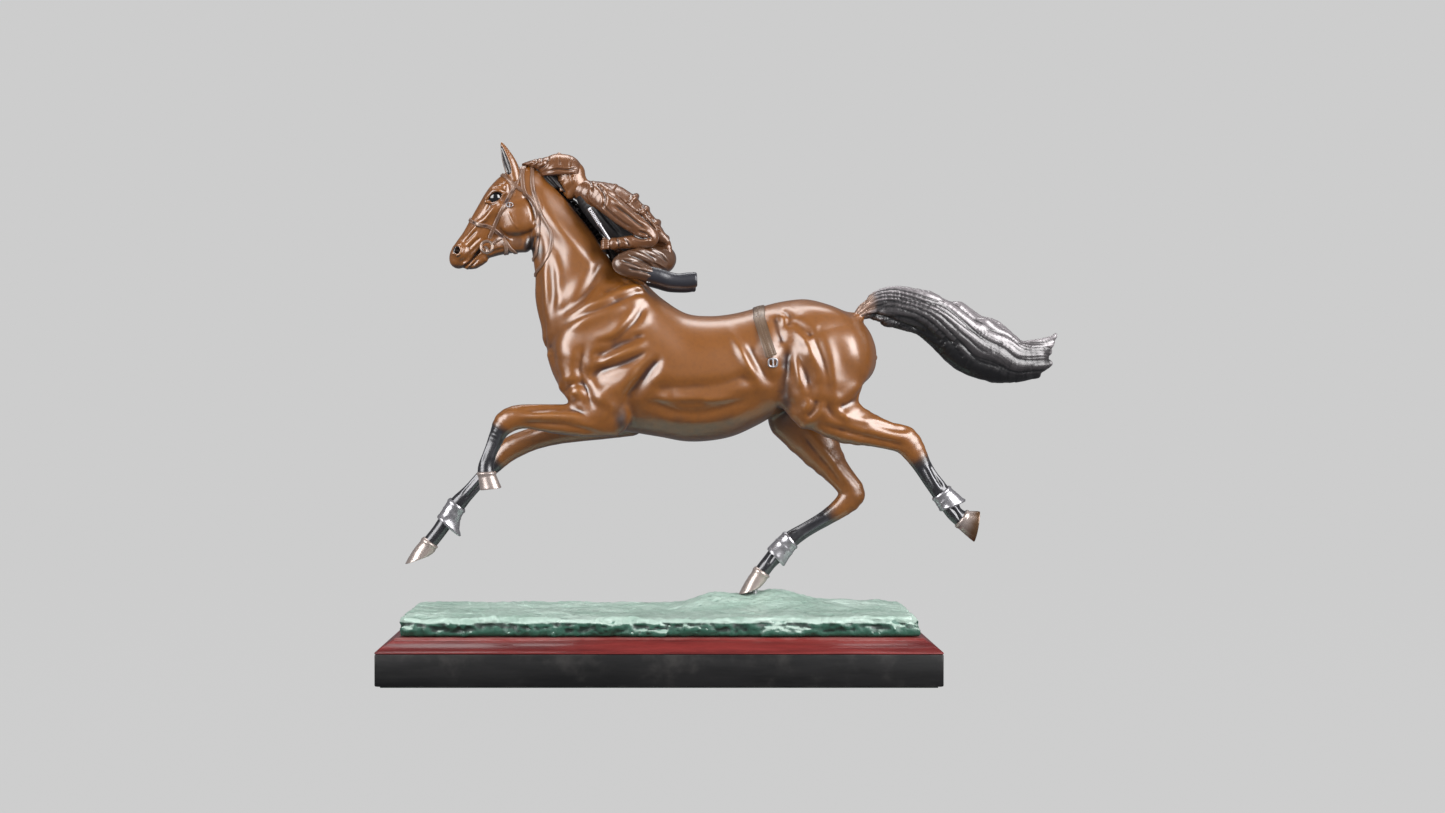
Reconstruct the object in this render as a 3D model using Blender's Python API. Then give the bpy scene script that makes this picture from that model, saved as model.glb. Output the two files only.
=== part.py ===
"""Bronze racehorse with a crouching jockey, on a green ground casting and a two-tone timber plinth.

The horse gallops towards -X and stands on its right hind hoof. +Y is its right side, +Z is up, and the
origin is the middle of the felt underside. The tables below are in millimetres; the meshes are in metres.
A row of a form table is (x, y, z, deep, wide): a point on the form's middle line, its half depth in the
plane of the side view, and its half width across.
"""
import math

import bmesh
import bpy
from mathutils import Matrix, Vector
from mathutils.bvhtree import BVHTree

MM = 0.001
GAP = 0.3                      # clearance between pieces that touch
LEFT, RIGHT = -1, 1            # the side of the horse, as the sign of y

# Plinth and ground
PLINTH_LENGTH, PLINTH_DEPTH = 450.0, 160.0
FELT_THICK, FELT_INSET = 1.2, 4.0
BLOCK_TOP = 27.0               # top of the black block
BEVEL_RUN, BEVEL_RISE = 16.0, 11.0
GROUND_MARGIN = 1.0            # ledge of the moulding round the ground casting
GROUND_LEVEL = 54.0            # the ground's flat stretches
GROUND_WALL, GROUND_ROOF = 5.0, 48.0
MOULDING_TOP = BLOCK_TOP + BEVEL_RISE
GROUND_LENGTH = PLINTH_LENGTH - 2 * (BEVEL_RUN + GROUND_MARGIN)
GROUND_DEPTH = PLINTH_DEPTH - 2 * (BEVEL_RUN + GROUND_MARGIN)

# The stud that ties the standing hoof to the plinth, and its nut
STUD_X, STUD_Y, STUD_RADIUS, STUD_TOP = 81.0, 18.0, 2.2, 77.5
COUNTERBORE_RADIUS, COUNTERBORE_DEPTH = 11.0, 13.0
WASHER_RADIUS, WASHER_THICK = 8.0, 1.6
NUT_RADIUS, NUT_THICK = 4.6, 4.0

# Two screws up through the block and the moulding into bosses of the ground casting
SCREW_RADIUS, SCREW_HEAD_RADIUS, SCREW_HEAD_DEEP = 1.8, 3.6, 2.6
SCREW_PLACES, SCREW_TOP = {"left_end_screw": (-150.0, 0.0), "right_end_screw": (160.0, 0.0)}, 46.0
BOSS_RADIUS = 7.0

# Dowels between castings, and the vent in the belly that the core was drawn through
DOWEL_RADIUS, DOWEL_HALF = 2.5, 8.0
VENT_RADIUS = 1.5
WALL = 10.0                    # how far the core keeps from the skin

# Cutting planes: a point on the plane and the way it faces, away from the body
NECK_ROOT = ((-72.0, 0.0, 327.0), (-0.598, 0.0, 0.802))
POLL_CUT = ((-106.0, 0.0, 385.0), (-0.995, 0.0, -0.102))
TAIL_ROOT = ((166.5, 0.0, 297.5), (0.78, 0.0, 0.62))
WAIST = ((-2.0, 0.0, 358.0), (0.63, 0.0, -0.77))

TRUNK = [
    (-86, 0, 272, 26, 17), (-74, 0, 275, 44, 28), (-58, 0, 272, 58, 34), (-38, 0, 268, 64, 37),
    (-16, 0, 264, 64, 39), (2, 0, 255, 58, 41), (22, 0, 247, 53.5, 42), (42, 0, 246, 52, 43),
    (62, 0, 249, 51, 43), (82, 0, 256, 49, 41), (102, 0, 264, 46, 39), (122, 0, 268, 44, 41),
    (140, 0, 268, 40, 41), (156, 0, 268, 33, 36), (169, 0, 270, 24, 27), (177, 0, 268, 13, 14),
]
NECK = [
    (-58, 0, 298, 41, 27), (-66, 0, 314, 38, 25.5), (-71.5, 0, 329, 35, 23), (-76, 0, 344, 30, 20),
    (-82, 0, 360, 26, 17), (-88.5, 0, 375, 21.5, 15), (-95, 0, 389, 17.6, 13.5), (-102, 0, 401, 14, 12),
    (-108, 0, 409.5, 10, 9.5), (-112, 0, 415, 6, 6),
]
SKULL = [
    (-104, 0, 413, 9, 7), (-112, 0, 409, 15, 11), (-120, 0, 402, 18, 13.5), (-128, 0, 393, 18.5, 14.5),
    (-136, 0, 382, 17, 13.5), (-145, 0, 371, 14.5, 11), (-153, 0, 362, 12, 9.5), (-160, 0, 354, 11, 9.5),
    (-165, 0, 348, 10, 9.5), (-169, 0, 344, 6, 6),
]
# Each leg: its rows, the row where it leaves the body, and the row where the dark lower leg starts
LEGS = {
    "left_foreleg": ([
        (-40, -25, 214, 16, 12), (-61, -26, 211.5, 13.5, 12), (-86, -25, 212.5, 12, 10),
        (-106, -25, 214.5, 10, 8.5), (-118, -25, 213.5, 10, 8.5), (-126, -25, 209.5, 10, 8.5),
        (-131, -25, 202.5, 7.5, 7), (-135, -25, 192.5, 6, 5), (-139, -25, 183, 5.7, 4.6),
        (-142.5, -25, 173, 6.5, 5.2), (-141.5, -25, 167, 7, 6)], 2, 6),
    "right_foreleg": ([
        (-26, 24, 214, 17, 12), (-49, 24, 208.5, 14, 12), (-83, 24, 202.5, 11.5, 10), (-105.5, 24, 195.5, 9.5, 8.5),
        (-120, 24, 190, 10, 8.5), (-130, 24, 184, 10, 8.5), (-139, 24, 174, 7.5, 7), (-149, 24, 163.5, 6, 5),
        (-161, 24, 150.5, 6, 5), (-171.5, 24, 139, 7.5, 6), (-179, 24, 128, 7.5, 6), (-186.5, 24, 117, 6.6, 6),
        (-194, 24, 107.5, 6.6, 6.2)], 2, 6),
    "left_hind_leg": ([
        (136, -26, 222, 22, 13), (154, -26, 210, 18, 12), (173, -25, 203.5, 13.5, 10.5),
        (189, -25, 198.5, 11.5, 9), (201, -25, 195.5, 12, 8.5), (208.5, -25, 187, 10.5, 7.5),
        (215.5, -25, 175, 8, 6), (223, -25, 163, 7.5, 5.5), (231, -25, 152.5, 8, 6.2), (237, -25, 144.5, 8.2, 6.5),
        (242, -25, 135.5, 7, 6), (248, -25, 130.5, 7.8, 7)], 2, 6),
    "right_hind_leg": ([
        (117, 19, 214, 25, 15), (136, 20, 186.5, 17.5, 13), (149, 20, 169, 12, 10), (159, 20, 157, 10.5, 8.5),
        (163, 20, 148, 11.5, 8.5), (155.5, 20, 138.5, 9, 7.5), (141.5, 20, 128.5, 7, 6), (125.5, 20, 119, 6.6, 5.5),
        (112, 19, 110.5, 7.6, 6.2), (103.5, 19, 102, 8.2, 6.6), (93.5, 18, 91.5, 6.8, 6.2), (87, 18, 83, 6.6, 6.2)],
        1, 6),
}
# Hoof: middle of the sole, the way the sole faces, and the sole's half length and half width
HOOVES = {
    "left_foreleg": ((-139.5, -25, 157.2), (0.05, 0.0, -1.0), 7.8, 7.5),
    "right_foreleg": ((-204, 24, 92.8), (0.33, 0.0, -0.94), 11.5, 8.5),
    "left_hind_leg": ((260.8, -25, 125.2), (0.98, 0.0, -0.17), 13.2, 8.5),
    "right_hind_leg": ((77.0, 18, 67.0), (0.31, 0.0, -0.95), 9.6, 8.5),
}
# Joint boots: the leg, the rows between which the boot lies, and how far its lower end flares
JOINT_BOOTS = {
    "right_fore_boot": ("right_foreleg", 8.9, 10.3, 6.5),
    "left_hind_boot": ("left_hind_leg", 8.0, 9.4, 0.8),
    "right_hind_boot": ("right_hind_leg", 8.0, 9.9, 0.2),
}
BOOT_WALL = 1.0

TAIL = [
    (166.5, 0, 297.5, 4.2, 4.2), (173, 0, 303, 6, 6), (184, 0, 307, 11, 8), (200, 0, 307, 16, 10),
    (220, 0, 302, 18, 12), (240, 0, 289, 20, 13), (260, 0, 273, 22, 13), (280, 0, 266, 23, 12),
    (298, 0, 259, 17, 10), (314, 0, 262, 15, 8), (325, 0, 270, 10, 5), (330.5, 0, 281, 2, 1.5),
]
MANE = [
    (-100, 7, 412, 2.5, 3), (-92, 8, 406, 4.5, 4), (-81, 9, 395, 6, 4.5), (-69, 9.5, 381, 6, 4.5),
    (-57, 10, 365, 5, 4), (-48, 10, 353, 2.5, 3),
]
EAR = [(-121, 8, 414, 4.6, 3.2), (-124.5, 8.6, 426, 4.3, 3.0), (-128, 8.8, 435, 2.6, 2.0), (-131, 8.6, 442.5, 0.6, 0.6)]

# Jockey
JACKET = [
    (-60, 0, 402, 8, 8), (-52, 0, 397, 13, 14), (-38, 0, 391, 17, 17), (-24, 0, 380, 15.5, 16),
    (-11, 0, 368, 13, 14), (-2, 0, 358, 10, 12),
]
SLEEVE = [
    (-49, 21, 396, 9, 7), (-34, 24, 384, 9, 7), (-18, 26, 371, 8, 7), (-6, 26, 362, 6.5, 6.2),
    (-11, 26, 358.5, 5.5, 5.5), (-24, 25, 357.5, 5.5, 5.2), (-36, 24, 356.5, 4.5, 4.5),
]
HAND_AT, HAND_RADII = (-42.3, 24, 355.3), (5.2, 4.2, 4.4)
THIGH = [(4, 7, 346, 9, 9), (-10, 20, 345, 8.5, 8), (-24, 31, 343, 8, 7), (-32, 34, 339, 7, 6)]
SHIN = [(-31, 34, 338, 6.5, 6), (-18, 33, 334, 6.5, 6), (-5, 31, 329.5, 6.3, 6), (2, 31, 328, 6.2, 6)]
RIDING_BOOT = [
    (-2, 31, 328.8, 6.2, 6), (8, 30, 326, 6.8, 6.2), (16, 30, 325.5, 7, 6), (23, 30, 326, 6.8, 5),
    (30, 30, 326.5, 6.3, 4.6),
]
FACE_CENTRE, FACE_RADII, FACE_TILT = (-75.0, 0, 409.5), (11.0, 9.6, 13.0), 20.0
CAP_LINE = 416.5               # the cap's lower edge
CAP_CENTRE, CAP_RADII = (-82.0, 0, 418.0), (16.0, 13.5, 15.8)
PEAK = [(-80, 0, 422, 5, 11), (-95, 0, 424.5, 5.5, 10.5), (-106, 0, 425.8, 2.4, 7), (-114, 0, 425.8, 0.8, 2.5)]
WHIP_ENDS, WHIP_RADIUS = ((-58, -24, 386), (-40.6, -24, 352.6)), 1.6
PIN_ENDS, PIN_RADIUS = ((-4.0, 0.0, 346.0), (-9.0, 0.0, 326.0)), 1.5

# Bridle and straps. Paths run down the left side, outside the skin, and are laid on it
STRAP_THICK, STRAP_WIDTH = 1.1, 2.8
CROWNPIECE = [(-113.3, 0, 430), (-113.6, -9, 427), (-116.4, -18, 413), (-119.7, -20, 402), (-122.5, -20, 393.5)]
CHEEKPIECE = [(-123.2, -20, 391), (-130, -20, 381), (-136, -20, 372.5), (-140.5, -18, 363.5)]
THROATLATCH = [(-109.2, 0, 429), (-109.2, -9, 426), (-109.6, -18, 411), (-107, -22, 397), (-102.5, -24, 384),
               (-100.5, -22, 368), (-100.5, -16, 354), (-103.5, -8, 346.5), (-105.5, 0, 345)]
NECK_STRAP = [(-101, 0, 425), (-101.5, -11, 420), (-102.5, -20, 405), (-97, -24, 391), (-92, -26, 378),
              (-91, -26, 364), (-93, -22, 350), (-99, -15, 339), (-104, -7, 333), (-106, 0, 332)]
BROWBAND = [(-123.6, -18, 408.2), (-127, -16, 410.2), (-131.5, -9, 413), (-134, 0, 416)]
NOSEBAND = [(-158, 0, 378), (-157, -8, 376.5), (-150, -16, 373), (-141, -18, 370), (-132, -18, 364),
            (-123, -13, 353), (-119, 0, 347)]
CURB_STRAP = [(-136.5, -15, 358.5), (-131.5, -13, 355), (-129, -8, 349), (-129, 0, 346)]
BIT_AT, BIT_RING_RADIUS, BIT_WIRE = (-142.5, -14.6, 355.0), 5.0, 0.9
BACK_STRAP = [(84.5, 0, 318), (83.5, -24, 314), (86, -44, 296), (90.5, -56, 276), (94.3, -56, 262.3)]
BACK_STRAP_WIDTH = 8.0
BUCKLE_AT, BUCKLE_SIZE = (95.6, 256.4), (9.5, 1.6, 4.2)

FINISHES = {
    "bay_bronze": ((0.42, 0.20, 0.07), 0.25, 0.8),
    "dark_bronze": ((0.05, 0.045, 0.045), 0.35, 0.8),
    "jockey_bronze": ((0.30, 0.17, 0.11), 0.3, 0.8),
    "pewter_patina": ((0.42, 0.42, 0.45), 0.3, 0.8),
    "horn_patina": ((0.50, 0.40, 0.34), 0.35, 0.7),
    "strap_bronze": ((0.32, 0.20, 0.15), 0.3, 0.8),
    "verdigris": ((0.30, 0.48, 0.40), 0.7, 0.2),
    "red_lacquer": ((0.25, 0.02, 0.02), 0.15, 0.0),
    "black_lacquer": ((0.01, 0.01, 0.01), 0.2, 0.0),
    "felt": ((0.02, 0.10, 0.05), 0.95, 0.0),
    "steel": ((0.55, 0.55, 0.56), 0.3, 1.0),
}


# ---- making and finishing objects -------------------------------------------------------------------

def finish(name):
    """The named material, made the first time that it is asked for."""
    found = bpy.data.materials.get(name)
    if found:
        return found
    colour, roughness, metallic = FINISHES[name]
    made = bpy.data.materials.new(name)
    made.use_nodes = True
    shader = made.node_tree.nodes["Principled BSDF"]
    shader.inputs["Base Color"].default_value = (*colour, 1.0)
    shader.inputs["Roughness"].default_value = roughness
    shader.inputs["Metallic"].default_value = metallic
    return made


def add_object(name, bm, finish_name=None):
    """A linked object from a bmesh in millimetres; without a finish it is a cutter, left out of the part."""
    bmesh.ops.recalc_face_normals(bm, faces=bm.faces[:])
    bmesh.ops.scale(bm, verts=bm.verts[:], vec=(MM, MM, MM))
    mesh = bpy.data.meshes.new(name)
    bm.to_mesh(mesh)
    bm.free()
    obj = bpy.data.objects.new(name, mesh)
    bpy.context.scene.collection.objects.link(obj)
    if finish_name:
        mesh.shade_smooth()
        mesh.set_sharp_from_angle(angle=math.radians(40))
        mesh.materials.append(finish(finish_name))
    else:
        obj.hide_render = True
        obj.display_type = "WIRE"
    return obj


def blend_forms(obj, voxel, share):
    """Fuses an object's overlapping closed forms into one smooth skin and keeps that share of its faces."""
    remesh = obj.modifiers.new("skin", "REMESH")
    remesh.mode, remesh.voxel_size, remesh.adaptivity = "VOXEL", voxel * MM, 0.0
    remesh.use_smooth_shade = True
    soften = obj.modifiers.new("soften", "SMOOTH")
    soften.factor, soften.iterations = 0.5, 5
    thin = obj.modifiers.new("thin", "DECIMATE")
    thin.ratio = share


def cut(obj, *cutters):
    for cutter in cutters:
        step = obj.modifiers.new("cut", "BOOLEAN")
        step.operation, step.object, step.solver = "DIFFERENCE", cutter, "EXACT"


# ---- forms, all in millimetres ----------------------------------------------------------------------

def smooth_rows(rows, steps):
    """Catmull-Rom rows through the rows given, with steps stretches between each two."""
    ends = [rows[0], *rows, rows[-1]]
    made = []
    for a, b, c, d in zip(ends, ends[1:], ends[2:], ends[3:]):
        for i in range(steps):
            t = i / steps
            made.append(tuple(
                0.5 * (2 * q + (r - p) * t + (2 * p - 5 * q + 4 * r - s) * t**2 + (3 * q - p - 3 * r + s) * t**3)
                for p, q, r, s in zip(a, b, c, d)))
    return [*made, tuple(float(v) for v in rows[-1])]


def on_side(rows, side):
    """Rows moved to the side of the horse asked for."""
    return [(row[0], side * abs(row[1]), *row[2:]) for row in rows]


def frames_along(points):
    """For each point of a line, the point, the way along, the way up and the way across."""
    made = []
    for i, middle in enumerate(points):
        along = (points[min(i + 1, len(points) - 1)] - points[max(i - 1, 0)]).normalized()
        across = (Vector((0, 1, 0)) - along * along.y).normalized()
        made.append((middle, along, along.cross(across), across))
    return made


def loft_rings(rows, sides=12, steps=2, grow=0.0):
    """Rings square to the middle line of rows of (x, y, z, deep, wide), each grown outwards."""
    rows = smooth_rows(rows, steps)
    turns = [2 * math.pi * k / sides for k in range(sides)]
    return [[middle + up * (row[3] + grow) * math.cos(a) + across * (row[4] + grow) * math.sin(a) for a in turns]
            for (middle, _, up, across), row in zip(frames_along([Vector(r[:3]) for r in rows]), rows)]


def plane_of(rings, index):
    """The plane of one ring of a loft, facing along the loft."""
    middle = sum(rings[index], Vector()) / len(rings[index])
    normal = (rings[index][0] - middle).cross(rings[index][len(rings[index]) // 4] - middle).normalized()
    after = sum(rings[min(index + 1, len(rings) - 1)], Vector()) - sum(rings[max(index - 1, 0)], Vector())
    return middle, normal if normal.dot(after) > 0 else -normal


def skin_rings(bm, rings):
    """Walls between rings of points, and a face over each end."""
    loops = [[bm.verts.new(p) for p in ring] for ring in rings]
    for low, high in zip(loops, loops[1:]):
        for i in range(len(low)):
            j = (i + 1) % len(low)
            bm.faces.new((low[i], low[j], high[j], high[i]))
    bm.faces.new(loops[0][::-1])
    bm.faces.new(loops[-1])


def skin_loop(bm, loops):
    """Walls between rings that close on themselves, as round a tube's own wall."""
    loops = [[bm.verts.new(p) for p in ring] for ring in loops]
    for low, high in zip(loops, [*loops[1:], loops[0]]):
        for i in range(len(low)):
            j = (i + 1) % len(low)
            bm.faces.new((low[i], low[j], high[j], high[i]))


def loft(bm, rows, sides=12, steps=2, grow=0.0):
    """A closed form along rows; grown, it also reaches further at both ends."""
    rings = loft_rings(rows, sides, steps, grow)
    for index in (0, -1) if grow else ():
        middle, facing = plane_of(rings, index if index == 0 else len(rings) - 1)
        rings[index] = [p + facing * grow * (-1 if index == 0 else 1) for p in rings[index]]
    skin_rings(bm, rings)


def ball(bm, centre, radii, tilt=0.0, rings=8, sides=12, grow=0.0):
    """An ellipsoid, tilted in the side view by tilt degrees from +X towards +Z."""
    place = (Matrix.Translation(centre) @ Matrix.Rotation(math.radians(-tilt), 4, "Y")
             @ Matrix.Diagonal((*(r + grow for r in radii), 1.0)))
    bmesh.ops.create_uvsphere(bm, u_segments=sides, v_segments=rings, radius=1.0, matrix=place)


def rod(bm, start, end, radius, sides=12, end_radius=None):
    """A round bar, or a cone if the end radius differs."""
    start, end = Vector(start), Vector(end)
    turn = (end - start).to_track_quat("Z", "Y").to_matrix().to_4x4()
    bmesh.ops.create_cone(bm, cap_ends=True, segments=sides, radius1=radius,
                          radius2=radius if end_radius is None else end_radius,
                          depth=(end - start).length, matrix=Matrix.Translation((start + end) / 2) @ turn)


def box(bm, low, high):
    low, high = Vector(low), Vector(high)
    bmesh.ops.create_cube(bm, size=1.0, matrix=Matrix.Translation((low + high) / 2)
                          @ Matrix.Diagonal((*(high - low), 1.0)))


def half_space(name, plane, reach=500.0, shift=0.0, width=None, back=False):
    """A cutter that holds everything in front of a plane, or behind it, moved off it by shift."""
    point, facing = Vector(plane[0]), Vector(plane[1]).normalized() * (-1 if back else 1)
    side = width or 2 * reach
    bm = bmesh.new()
    turn = facing.to_track_quat("Z", "Y").to_matrix().to_4x4()
    bmesh.ops.create_cube(bm, size=1.0, matrix=Matrix.Translation(point + facing * (shift + reach / 2)) @ turn
                          @ Matrix.Diagonal((side, side, reach, 1.0)))
    return add_object(name, bm)


def dowel(bm, plane, grow=0.0):
    point, facing = Vector(plane[0]), Vector(plane[1]).normalized()
    reach = DOWEL_HALF + grow
    rod(bm, point - facing * reach, point + facing * reach, DOWEL_RADIUS + grow, 10)


def cutter_from(name, build, *args, **options):
    bm = bmesh.new()
    build(bm, *args, **options)
    return add_object(name, bm)


# ---- straps that lie on a skin ----------------------------------------------------------------------

class Skin:
    """The finished surface of one or more objects, to lay straps on."""

    def __init__(self, *names):
        graph = bpy.context.evaluated_depsgraph_get()
        self.trees = [BVHTree.FromObject(bpy.data.objects[name], graph) for name in names]

    def nearest(self, point):
        """The nearest place on the skin and the way out there, in millimetres."""
        found = [tree.find_nearest(Vector(point) * MM) for tree in self.trees]
        place, normal, _, _ = min(found, key=lambda hit: hit[3])
        return place / MM, normal


def laid_path(skin, points, lift, closed_by_mirror, steps=3):
    """Points laid on a skin and lifted off it, with the way out at each; mirrored to the right if asked."""
    rows = [Vector(p) for p in smooth_rows(points, steps)]
    laid = []
    for point in rows:
        place, normal = skin.nearest(point)
        out = (point - place).normalized() if (point - place).length > 0.5 else normal
        laid.append([place, out if out.dot(normal) > 0.3 else normal])
    for _ in range(2):
        outs = [item[1] for item in laid]
        for i, item in enumerate(laid):
            item[1] = (outs[max(i - 1, 0)] + outs[i] * 2 + outs[min(i + 1, len(outs) - 1)]).normalized()
    path = [(place + out * lift, out) for place, out in laid]
    if closed_by_mirror:
        flip = Vector((1, -1, 1))
        path[0] = (path[0][0] * Vector((1, 0, 1)), (path[0][1] * Vector((1, 0, 1))).normalized())
        path = [(p * flip, o * flip) for p, o in path[:0:-1]] + path
    return path


def strap(bm, path, width, thick, closed=False):
    """A flat band along a path of (point, way out)."""
    rings = []
    count = len(path)
    for i, (middle, out) in enumerate(path):
        before, after = (i - 1) % count if closed else max(i - 1, 0), (i + 1) % count if closed else min(i + 1, count - 1)
        along = (path[after][0] - path[before][0]).normalized()
        face = (out - along * out.dot(along)).normalized()
        edge = along.cross(face)
        rings.append([middle + edge * width / 2 * a + face * thick / 2 * b
                      for a, b in ((-1, -1), (1, -1), (1, 1), (-1, 1))])
    (skin_loop if closed else skin_rings)(bm, rings)


def flipped(path):
    flip = Vector((1, -1, 1))
    return [(p * flip, o * flip) for p, o in path]


# ---- plinth and ground ------------------------------------------------------------------------------

def add_bores(bm):
    """Vertical bores for the stud and the screws, through the whole base."""
    rod(bm, (STUD_X, STUD_Y, -5), (STUD_X, STUD_Y, STUD_TOP + GAP), STUD_RADIUS + GAP)
    for x, y in SCREW_PLACES.values():
        rod(bm, (x, y, -5), (x, y, SCREW_TOP + GAP), SCREW_RADIUS + GAP, 8)


def add_screw(name, x, y):
    """A countersunk wood screw, its head just inside the block's underside."""
    bm = bmesh.new()
    low = FELT_THICK + 2 * GAP
    turns = [2 * math.pi * k / 8 for k in range(8)]
    rows = [(low, SCREW_HEAD_RADIUS), (low + SCREW_HEAD_DEEP, SCREW_RADIUS), (SCREW_TOP - 4, SCREW_RADIUS),
            (SCREW_TOP, 0.5)]
    skin_rings(bm, [[Vector((x + r * math.cos(a), y + r * math.sin(a), z)) for a in turns] for z, r in rows])
    add_object(name, bm, "steel")


def add_plinth():
    low = FELT_THICK + GAP
    bores = cutter_from("base_bores", add_bores)
    bm = bmesh.new()
    rod(bm, (STUD_X, STUD_Y, low - 5), (STUD_X, STUD_Y, low + COUNTERBORE_DEPTH), COUNTERBORE_RADIUS, 24)
    for x, y in SCREW_PLACES.values():
        rod(bm, (x, y, low - 1), (x, y, low + SCREW_HEAD_DEEP + 0.6), SCREW_HEAD_RADIUS + 1.2, 8,
            end_radius=SCREW_RADIUS + 0.1)
    counterbores = add_object("base_counterbores", bm)

    bm = bmesh.new()
    half_x, half_y = PLINTH_LENGTH / 2, PLINTH_DEPTH / 2
    box(bm, (-half_x, -half_y, low), (half_x, half_y, BLOCK_TOP))
    bmesh.ops.bevel(bm, geom=bm.edges[:], offset=1.0, segments=1, affect="EDGES")
    cut(add_object("plinth_block", bm, "black_lacquer"), bores, counterbores)

    bm = bmesh.new()
    rows = ((half_x, half_y, BLOCK_TOP + GAP), (half_x, half_y, BLOCK_TOP + 1.2),
            (half_x - BEVEL_RUN, half_y - BEVEL_RUN, MOULDING_TOP))
    skin_rings(bm, [[Vector((sx * x, sy * y, z)) for sx, sy in ((-1, -1), (1, -1), (1, 1), (-1, 1))]
                    for x, y, z in rows])
    cut(add_object("plinth_moulding", bm, "red_lacquer"), bores)

    bm = bmesh.new()
    box(bm, (-half_x + FELT_INSET, -half_y + FELT_INSET, 0), (half_x - FELT_INSET, half_y - FELT_INSET, FELT_THICK))
    add_object("felt_pad", bm, "felt")


def ground_height(x, y):
    """The lie of the ground: nearly flat at the left, and rising to a hummock under the standing hoof."""
    def swell(cx, cy, height, wide_x, wide_y):
        return height * math.exp(-((x - cx) / wide_x) ** 2 - ((y - cy) / wide_y) ** 2)
    return (GROUND_LEVEL + swell(48, 14, 11.5, 26, 30) + swell(98, 22, 12.5, 30, 30) + swell(150, 10, 3.5, 50, 50)
            - swell(-60, -20, 1.2, 100, 40))


def add_ground():
    half_x, half_y = GROUND_LENGTH / 2, GROUND_DEPTH / 2
    columns, rows, corner = 26, 8, 9.0
    bm = bmesh.new()
    low_z = MOULDING_TOP + GAP

    def clipped(x, y):
        """Draws the sheet's corners in, as the casting's are knocked off."""
        over = abs(x) + abs(y) - (half_x + half_y - corner)
        return (x, y) if over <= 0 else (x - math.copysign(over / 2, x), y - math.copysign(over / 2, y))

    grid = []
    for i in range(columns + 1):
        line = []
        for j in range(rows + 1):
            x, y = clipped(half_x * (2 * i / columns - 1), half_y * (2 * j / rows - 1))
            line.append(bm.verts.new((x, y, ground_height(x, y))))
        grid.append(line)
    for i in range(columns):
        for j in range(rows):
            bm.faces.new((grid[i][j], grid[i + 1][j], grid[i + 1][j + 1], grid[i][j + 1]))
    rim = ([grid[i][0] for i in range(columns + 1)] + [grid[columns][j] for j in range(1, rows + 1)]
           + [grid[i][rows] for i in range(columns - 1, -1, -1)] + [grid[0][j] for j in range(rows - 1, 0, -1)])
    foot = [bm.verts.new((v.co.x, v.co.y, low_z)) for v in rim]
    for i in range(len(rim)):
        j = (i + 1) % len(rim)
        bm.faces.new((rim[i], rim[j], foot[j], foot[i]))
    bm.faces.new(foot)
    ground = add_object("ground_casting", bm, "verdigris")

    inner_x, inner_y = half_x - GROUND_WALL - corner / 2, half_y - GROUND_WALL - corner / 2
    pan = cutter_from("ground_pan", box, (-inner_x, -inner_y, low_z - 10), (inner_x, inner_y, GROUND_ROOF))
    bm = bmesh.new()
    for x, y in SCREW_PLACES.values():
        rod(bm, (x, y, low_z - 20), (x, y, GROUND_ROOF + 10), BOSS_RADIUS, 12)
    rod(bm, (STUD_X, STUD_Y, low_z - 20), (STUD_X, STUD_Y, GROUND_ROOF + 10), BOSS_RADIUS + 3, 16)
    cut(pan, add_object("ground_bosses", bm))
    cut(ground, pan, bpy.data.objects["base_bores"])
    return ground


def add_base_hardware():
    nut_low = FELT_THICK + GAP + COUNTERBORE_DEPTH - WASHER_THICK - NUT_THICK - 2 * GAP
    bm = bmesh.new()
    rod(bm, (STUD_X, STUD_Y, nut_low - 2), (STUD_X, STUD_Y, STUD_TOP), STUD_RADIUS)
    add_object("mounting_stud", bm, "steel")
    for name, radius, thick, low, sides in (
            ("stud_nut", NUT_RADIUS, NUT_THICK, nut_low, 6),
            ("stud_washer", WASHER_RADIUS, WASHER_THICK, nut_low + NUT_THICK + GAP, 24)):
        bm = bmesh.new()
        turns = [2 * math.pi * k / 24 for k in range(24)]
        flat = math.cos(math.pi / sides)
        loops = []
        for inner, z in ((True, low), (False, low), (False, low + thick), (True, low + thick)):
            ring = []
            for a in turns:
                facet = (a + math.pi / sides) % (2 * math.pi / sides) - math.pi / sides
                r = STUD_RADIUS + GAP if inner else radius * (flat / math.cos(facet) if sides == 6 else 1.0)
                ring.append(Vector((STUD_X + r * math.cos(a), STUD_Y + r * math.sin(a), z)))
            loops.append(ring)
        skin_loop(bm, loops)
        add_object(name, bm, "steel")
    for name, (x, y) in SCREW_PLACES.items():
        add_screw(name, x, y)


# ---- horse ------------------------------------------------------------------------------------------

LEG_STEPS = 2


def leg_rings(name, grow=0.0):
    return loft_rings(LEGS[name][0], 10, LEG_STEPS, grow)


def leg_root(name):
    """The plane where a leg leaves the body."""
    return plane_of(leg_rings(name), LEGS[name][1] * LEG_STEPS)


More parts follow.
